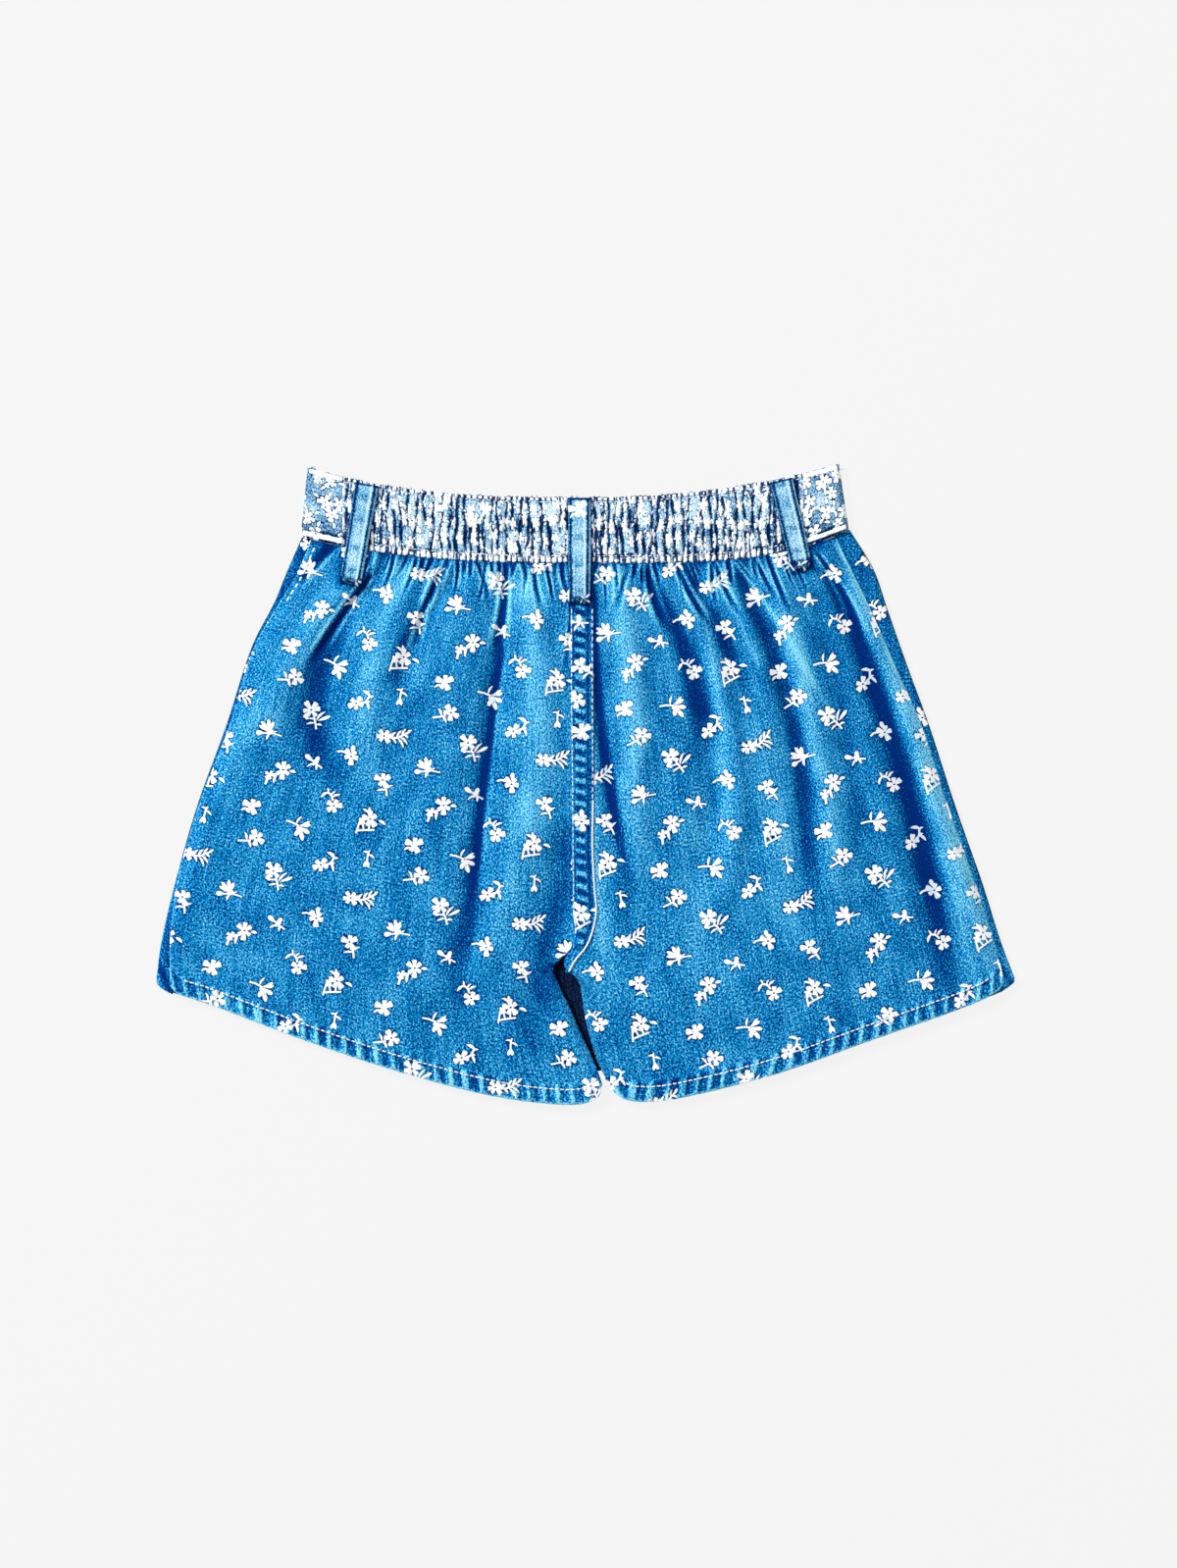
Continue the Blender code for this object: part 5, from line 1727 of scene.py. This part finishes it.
print(plain_band.name, len(triangles), "faces")

# %% [markdown]
# The two backs meet in a felled seam, folded over and sewn twice. Washing shrinks the thread more
# than the cloth, so the seam puckers across into small ridges, paler from rubbing and painted
# highlight, with painted shade between them.

# %% The centre-back seam
SEAM_BASE = BACK_EDGE + 2.4  # its general height
SEAM_LIFT = 1.5
SEAM_CLOTH = 0.8
SEAM_STEP = 0.8  # mm between grid points, along the seam
SEAM_PITCH = 5.9
SEAM_SLANT = 0.28  # how far a pucker drops across the seam, by its width
LADDER = -0.68, 0.34  # where the puckers start and end across the seam, from -1 to 1
SEAM_END, SEAM_TOP = SEAM_STRIP[-1].y, SEAM_STRIP[0].y
SeamPrint = namedtuple("SeamPrint", "draw x y turn")
SEAM_PRINTS = (
    SeamPrint(two_buds, -3.0, 82.0, 20),
    SeamPrint(flower_on_fork, -3.0, 60.0, 30),
    SeamPrint(flower_and_twig, -4.5, 43.0, -10),
    SeamPrint(lone_flower, -2.0, 27.0, 0),
    SeamPrint(flower_with_stalk, -2.0, -18.5, 0),
    SeamPrint(cluster, -3.0, -66.0, 15),
)


def seam_edges(y):
    return read_table(SEAM_STRIP, "left_x", y), read_table(SEAM_STRIP, "right_x", y)


def seam_place(across, up):
    y = mix(SEAM_END, SEAM_TOP, up)
    return mix(*seam_edges(y), across), y


def under_seam(x, y):
    """The height of the two back legs under the seam."""
    heights = {side: back_surface(PLANS[side, "back"], *PLANS[side, "back"].find(x, y))[2] for side in SIDES}
    return np.where(x < read_table(CENTRE, "right_x", y), heights["left"], heights["right"])


def seam_surface(x, y):
    """Height of the felled seam with its puckers, and its two masks."""
    left_edge, right_edge = seam_edges(y)
    width = right_edge - left_edge
    across = 2 * (x - left_edge) / width - 1
    in_core = ease((across - LADDER[0]) / 0.16) * ease((LADDER[1] - across) / 0.16)
    in_core = in_core * ease((width - 5.0) / 4.0)
    slanted = (y + SEAM_SLANT * across * width / 2) / SEAM_PITCH
    pucker = np.sin(2 * np.pi * slanted + 1.3 * wander(x * 0.2, y, 11.0, 15))
    light = np.clip((pucker - 0.25) / 0.5, 0, 1) * in_core * (0.75 + 0.25 * wander(x, y, 9.0, 16))
    deep = np.clip((0.15 - pucker) / 0.6, 0, 1) * in_core
    grooves = 0.8 * bell(across + 0.76, 0.08) + bell(across - 0.50, 0.14)
    round_off = ease((1 - np.abs(across)) / 0.16 + 0.1)
    z = mix(SEAM_BASE, under_seam(x, y), 0.4) - 0.6 + SEAM_LIFT * round_off
    z = z + 0.5 * pucker * in_core - 0.35 * grooves
    # Painted shade between the puckers, in the grooves beside the stitches and below the centre loop; the
    # pucker ridges are paler from wear and painted highlight, and the left edge is paler.
    dark = np.clip(0.75 * deep + 0.75 * grooves + 0.9 * beside_loops(x, y, 2.5), 0, 1.1)
    return z, 1.15 * light + 0.5 * bell(across + 0.95, 0.07), dark


points, ring = grid_points(even(22), spaced([(1.0, SEAM_STEP)], SEAM_TOP - SEAM_END), seam_place)
white, dots = [], []
for sprig in SEAM_PRINTS:
    add_sprig(sprig.draw, sprig.x, sprig.y, math.radians(sprig.turn), (white, dots))
cut, triangles, inked = cut_cloth(points, ring, white, dots)
z, pale, dark = seam_surface(*cut.T)
xyz, uv = np.stack([*cut.T, z], axis=1), cut + WEAVE_SHIFT["seam"]
seam = make_cloth(
    "cloth_centre_back_seam", xyz, triangles, PRINTED, inked, uv, (pale, dark), SEAM_CLOTH
)
SURFACES.append((xyz, triangles))
print(seam.name, len(triangles), "faces")

# %% [markdown]
# A belt loop is a folded strip sewn down at both ends. It lies over the waistband and hangs onto the
# leg, so its height is felt out with rays against the cloth below, then smoothed.


# %% Felt-out surface of the pieces made so far
ABOVE_ALL = 40.0  # mm, where the rays start


def felt_surface():
    """The outer faces made so far as one surface that rays can meet, in mm."""
    places, faces = [], []
    for xyz, triangles in SURFACES:
        faces += [tuple(k + len(places) for k in t) for t in triangles]
        places += [tuple(p) for p in np.asarray(xyz).tolist()]
    return BVHTree.FromPolygons(places, faces)


def height_at(surface, x, y, missing=0.0):
    met = surface.ray_cast(Vector((x, y, ABOVE_ALL)), Vector((0.0, 0.0, -1.0)))[0]
    return met.z if met is not None else missing


# %% The belt loops
LOOP_THICK, LOOP_RISE = 1.0, 1.2  # its shell, and how far its rolled face stands up
LOOP_GRID = 21, 75
FELT_GRID = 13, 29  # places where the cloth below is felt, across and up
FELT_REST = 0.5  # mm between that cloth and the loop
LoopPrint = namedtuple("LoopPrint", "loop draw across up turn")
LOOP_PRINTS = (
    LoopPrint("belt_loop_centre", lone_flower, -0.6, 48.6, 10),
    LoopPrint("belt_loop_centre", sprout, 2.4, 3.0, 60),
    LoopPrint("belt_loop_right", sprout, -0.5, 3.6, 40),
    LoopPrint("belt_loop_left", sprout, 3.0, 2.5, 20),
)


def on_loop(loop, across, up):
    """The plan place of a spot on a loop, in mm from the middle of its lower end."""
    _, ux, uy = loop_run(loop)
    return loop.end_x + ux * up + uy * across, loop.end_y + uy * up - ux * across


def loop_floor(loop, surface):
    """The highest cloth under each level of a loop, smoothed but never cut into."""
    length = loop_run(loop)[0]
    half = LOOP_WIDTH / 2 + 0.3
    felt = np.array([
        max(height_at(surface, *on_loop(loop, a, v * length)) for a in np.linspace(-half, half, FELT_GRID[0]))
        for v in np.linspace(0, 1, FELT_GRID[1])
    ])
    peak = np.array([felt[max(0, i - 2) : i + 3].max() for i in range(len(felt))])
    return np.maximum(np.convolve(np.pad(peak, 2, mode="edge"), np.ones(5) / 5, "valid"), felt)


def loop_relief(loop, a, b, x, y):
    """A loop's height over its floor and its masks: a across from -1 to 1, b up from 0 to 1."""
    band = np.sin(2 * np.pi * b * 5.2 + loop.end_x) * 0.5 + 0.5 * wander(x, y, 3.0, 20)
    cross = np.sin(2 * np.pi * b * 4.1 + 0.7 * loop.end_x + 0.8 * wander(x, y, 4.0, 27))
    cross = np.clip(cross - 0.35, 0, 1) * bell(a + 0.05, 0.42)
    edge_dip = bell(a + 0.80, 0.12) + 0.9 * bell(a - 0.72, 0.11)
    bright_edge = bell(a - 0.46, 0.10) + 0.7 * bell(a - 0.94, 0.06)
    roll = ease((1 - np.abs(a)) / 0.18 + 0.25)
    z = FELT_REST + LOOP_RISE * roll + 0.08 * band * roll - 0.28 * edge_dip
    z = z - 1.0 * (1 - ease(b / 0.035)) - 0.5 * (1 - ease((1 - b) / 0.03))
    # The dips by its edges and both its ends are darkened with painted shade, and the middle of its rolled
    # face is paler with painted highlight.
    pale = np.clip(0.3 * band + 0.7 * (1 - np.abs(a + 0.1)) + 1.6 * bright_edge, 0, 2.0)
    low_end = 1 - ease((b - (0.11 if loop.rounded else 0.055)) / 0.04)
    dark = np.clip(0.9 * cross + 1.5 * edge_dip + 1.3 * low_end + 1.3 * (b > 0.975), 0, 1.5)
    return z, pale, dark


def belt_loop(loop, surface):
    length, half = loop_run(loop)[0], LOOP_WIDTH / 2
    white, dots = [], []
    for sprig in LOOP_PRINTS:
        if sprig.loop == loop.name:
            add_sprig(sprig.draw, sprig.across, sprig.up, math.radians(sprig.turn), (white, dots))
    columns, rows = np.linspace(-half, half, LOOP_GRID[0]), np.linspace(0, length, LOOP_GRID[1])
    points, ring = grid_points(columns, rows, lambda a, b: (a, b))
    flat, triangles, inked = cut_cloth(points, ring, white, dots)
    a, b = flat[:, 0] / half, flat[:, 1] / length
    across = a * half * (1 + 0.02 * np.sin(9 * b + loop.end_x)) * (1.03 - 0.10 * (1 - b))
    if loop.rounded:
        across = across * np.sqrt(np.clip(1 - (1 - b / 0.12).clip(0, 1) ** 2, 0.04, 1))
    x, y = on_loop(loop, across, b * length)
    z, pale, dark = loop_relief(loop, a, b, x, y)
    z = z + np.interp(b, np.linspace(0, 1, FELT_GRID[1]), loop_floor(loop, surface))
    xyz = np.stack([x, y, z], axis=1)
    uv = np.stack([across + WEAVE_SHIFT["loop"] * len(loop.name), b * length], axis=1)
    SURFACES.append((xyz, triangles))
    return make_cloth("cloth_" + loop.name, xyz, triangles, LOOP_STRIP, inked, uv, (pale, dark), LOOP_THICK)


cloth_below = felt_surface()
loops = {loop.name: belt_loop(loop, cloth_below) for loop in LOOPS}
print("belt loops:", len(loops))

# %% [markdown]
# Stitches are what tells real sewing from a drawn line. Each one is a little bead of thread, sunk at
# both ends, laid along its row on the cloth below. A row is one mesh, so it stays light.

# %% A row of stitches
Stitch = namedtuple("Stitch", "pitch gap thick")  # gap: bare cloth between two, thick: the thread's width
Thread = namedtuple("Thread", "material pale dark")
PALE_THREAD, BLUE_THREAD = Thread(THREAD, 0.3, 0.0), Thread(LOOP, 0.0, 0.6)
BEAD_RINGS = ((-0.5, 0.35, -0.55), (-0.34, 0.9, 0.1), (0.0, 1.0, 0.35), (0.34, 0.9, 0.1), (0.5, 0.35, -0.55))
BEAD_SIDES = 6
UNDER_LOOP = 0.4  # how near a belt loop a row stops, as a share of the loop's shade
whole_surface = felt_surface()


def bead_faces(first):
    """The faces of one stitch, whose points start at a number."""
    faces = []
    for ring in range(len(BEAD_RINGS) - 1):
        for k in range(BEAD_SIDES):
            a = first + ring * BEAD_SIDES + k
            b = first + ring * BEAD_SIDES + (k + 1) % BEAD_SIDES
            faces.append((a, a + BEAD_SIDES, b + BEAD_SIDES, b))
    last = first + (len(BEAD_RINGS) - 1) * BEAD_SIDES
    near_end, far_end = (tuple(start + k for k in range(BEAD_SIDES)) for start in (first, last))
    return [*faces, near_end, far_end[::-1]]


def bead_points(cx, cy, ux, uy, length, thick):
    """The points of one stitch: rings of thread along it, sunk into the cloth at both ends."""
    places = []
    for t, width, lift in BEAD_RINGS:
        px, py = cx + ux * t * length, cy + uy * t * length
        ground = height_at(whole_surface, px, py, FRONT_TOP)
        for k in range(BEAD_SIDES):
            angle = 2 * math.pi * k / BEAD_SIDES
            off, up = math.cos(angle) * width * thick / 2, math.sin(angle) * width * thick / 2
            places.append((px - uy * off, py + ux * off, ground + up + lift * thick / 2))
    return places


def stitch_row(name, line, stitch, slot="printed_denim", thread=PALE_THREAD, slant=0.0, below_loops=False):
    """Stitches along a line of places; a slant turns each one, in radians."""
    line = np.array(line, float)
    run = np.concatenate([[0.0], np.cumsum(np.linalg.norm(np.diff(line, axis=0), axis=1))])
    count = max(1, int(run[-1] / stitch.pitch))
    half = (stitch.pitch - stitch.gap) / 2
    places, faces = [], []
    for number, centre in enumerate((np.arange(count) + 0.5) * run[-1] / count):
        (x0, x1), (y0, y1) = (np.interp((centre - half, centre + half), run, at) for at in line.T)
        cx, cy = (x0 + x1) / 2, (y0 + y1) / 2
        if below_loops and beside_loops(np.array([cx]), np.array([cy]))[0] > UNDER_LOOP:
            continue
        ux, uy = x1 - x0, y1 - y0
        size = math.hypot(ux, uy) or 1.0
        ux, uy = ux / size, uy / size
        tilt = slant + 0.10 * math.sin(2.3 * number)
        ux, uy = ux * math.cos(tilt) - uy * math.sin(tilt), ux * math.sin(tilt) + uy * math.cos(tilt)
        length = 2 * half * (1 + 0.08 * math.sin(1.7 * number))
        faces += bead_faces(len(places))
        places += bead_points(cx, cy, ux, uy, length, stitch.thick)
    cloth, masks = Cloth(slot, (thread.material,)), plain_masks(len(places), thread.pale, thread.dark)
    uv = np.array(places)[:, :2] + WEAVE_SHIFT["thread"]
    return make_cloth(name, places, faces, cloth, np.zeros(len(faces)), uv, masks, thickness=0)


# %% Rows of stitches
HEM_ROW = 7.7  # mm above the edge
CORD_TOP = -8.0  # below this the seam's edge has rolled up into a cord
TACK_HALF, TACK_UP = 4.4, 2.6  # half a tack's width, and its height over the loop's end
STITCHES = {
    "hem": Stitch(2.7, 0.35, 0.8),
    "side": Stitch(3.6, 0.9, 1.1),
    "seam_left": Stitch(3.2, 0.8, 0.55),
    "seam_right": Stitch(3.4, 0.9, 0.6),
    "cord": Stitch(1.3, -0.5, 1.0),
    "elastic": Stitch(TOOTH, 1.2, 0.5),
    "band": Stitch(2.6, 0.6, 0.6),
    "tack": Stitch(0.62, -1.5, 0.45),
}
TACK_SLANT = 1.35  # radians: a tack's threads lie almost across its row


def offset_line(line, distance):
    """A line moved sideways, to its left when it runs forward."""
    run = np.gradient(line, axis=0)
    run /= np.linalg.norm(run, axis=1)[:, None]
    return line + np.stack([-run[:, 1], run[:, 0]], axis=1) * distance


def seam_line(column, inset, top, end, count):
    """A line down the seam, beside one of its edges."""
    down = np.linspace(top, end, count)
    return np.stack([read_table(SEAM_STRIP, column, down) + inset, down], axis=1)


stitches = []
for side in SIDES:
    hem_line = offset_line(PLANS[side, "back"].hem, -outward(side) * HEM_ROW)[6:-6]
    stitches.append(stitch_row("stitches_hem_" + side, hem_line, STITCHES["hem"]))
side_top = np.stack(PLANS["left", "back"].side_point(np.linspace(0.86, 0.985, 30)), axis=1)
stitches.append(stitch_row("stitches_side_left", side_top + np.array([3.4, 0.0]), STITCHES["side"]))
for name, line in (
    ("left", seam_line("left_x", 0.7, BAND_LOW_Y - 23, -76.0, 120)),
    ("right", seam_line("right_x", -0.9, BAND_LOW_Y - 23, -76.0, 120)),
):
    if name == "right":
        line = line[line[:, 1] > CORD_TOP]
    stitches.append(stitch_row("stitches_seam_" + name, line, STITCHES["seam_" + name]))
cord_line = seam_line("right_x", -0.7, CORD_TOP, SEAM_END + 0.5, 90)
stitches.append(stitch_row("seam_cord", cord_line, STITCHES["cord"]))
across = np.linspace(ELASTIC[0] + 1, ELASTIC[1] - 1, 160)
for place, line_y in (("low", band_low(across) + 3.6), ("top", band_top(across) - 2.4)):
    line = np.stack([across, line_y], axis=1)
    stitches.append(
        stitch_row("stitches_elastic_" + place, line, STITCHES["elastic"], "band_denim", below_loops=True)
    )
for side, end in BAND_ENDS.items():
    across = np.linspace(end.elastic_x + outward(side) * 1.0, end.low_x - outward(side) * 2.0, 20)
    line = np.stack([across, band_top(across) - 3.0], axis=1)
    stitches.append(
        stitch_row("stitches_band_top_" + side, line, STITCHES["band"], "band_denim", below_loops=True)
    )
for loop in LOOPS:
    line = [on_loop(loop, a, TACK_UP) for a in np.linspace(-TACK_HALF, TACK_HALF, 12)]
    stitches.append(
        stitch_row("tack_" + loop.name, line, STITCHES["tack"], "loop_denim", BLUE_THREAD, TACK_SLANT)
    )
print("rows of stitches:", len(stitches))
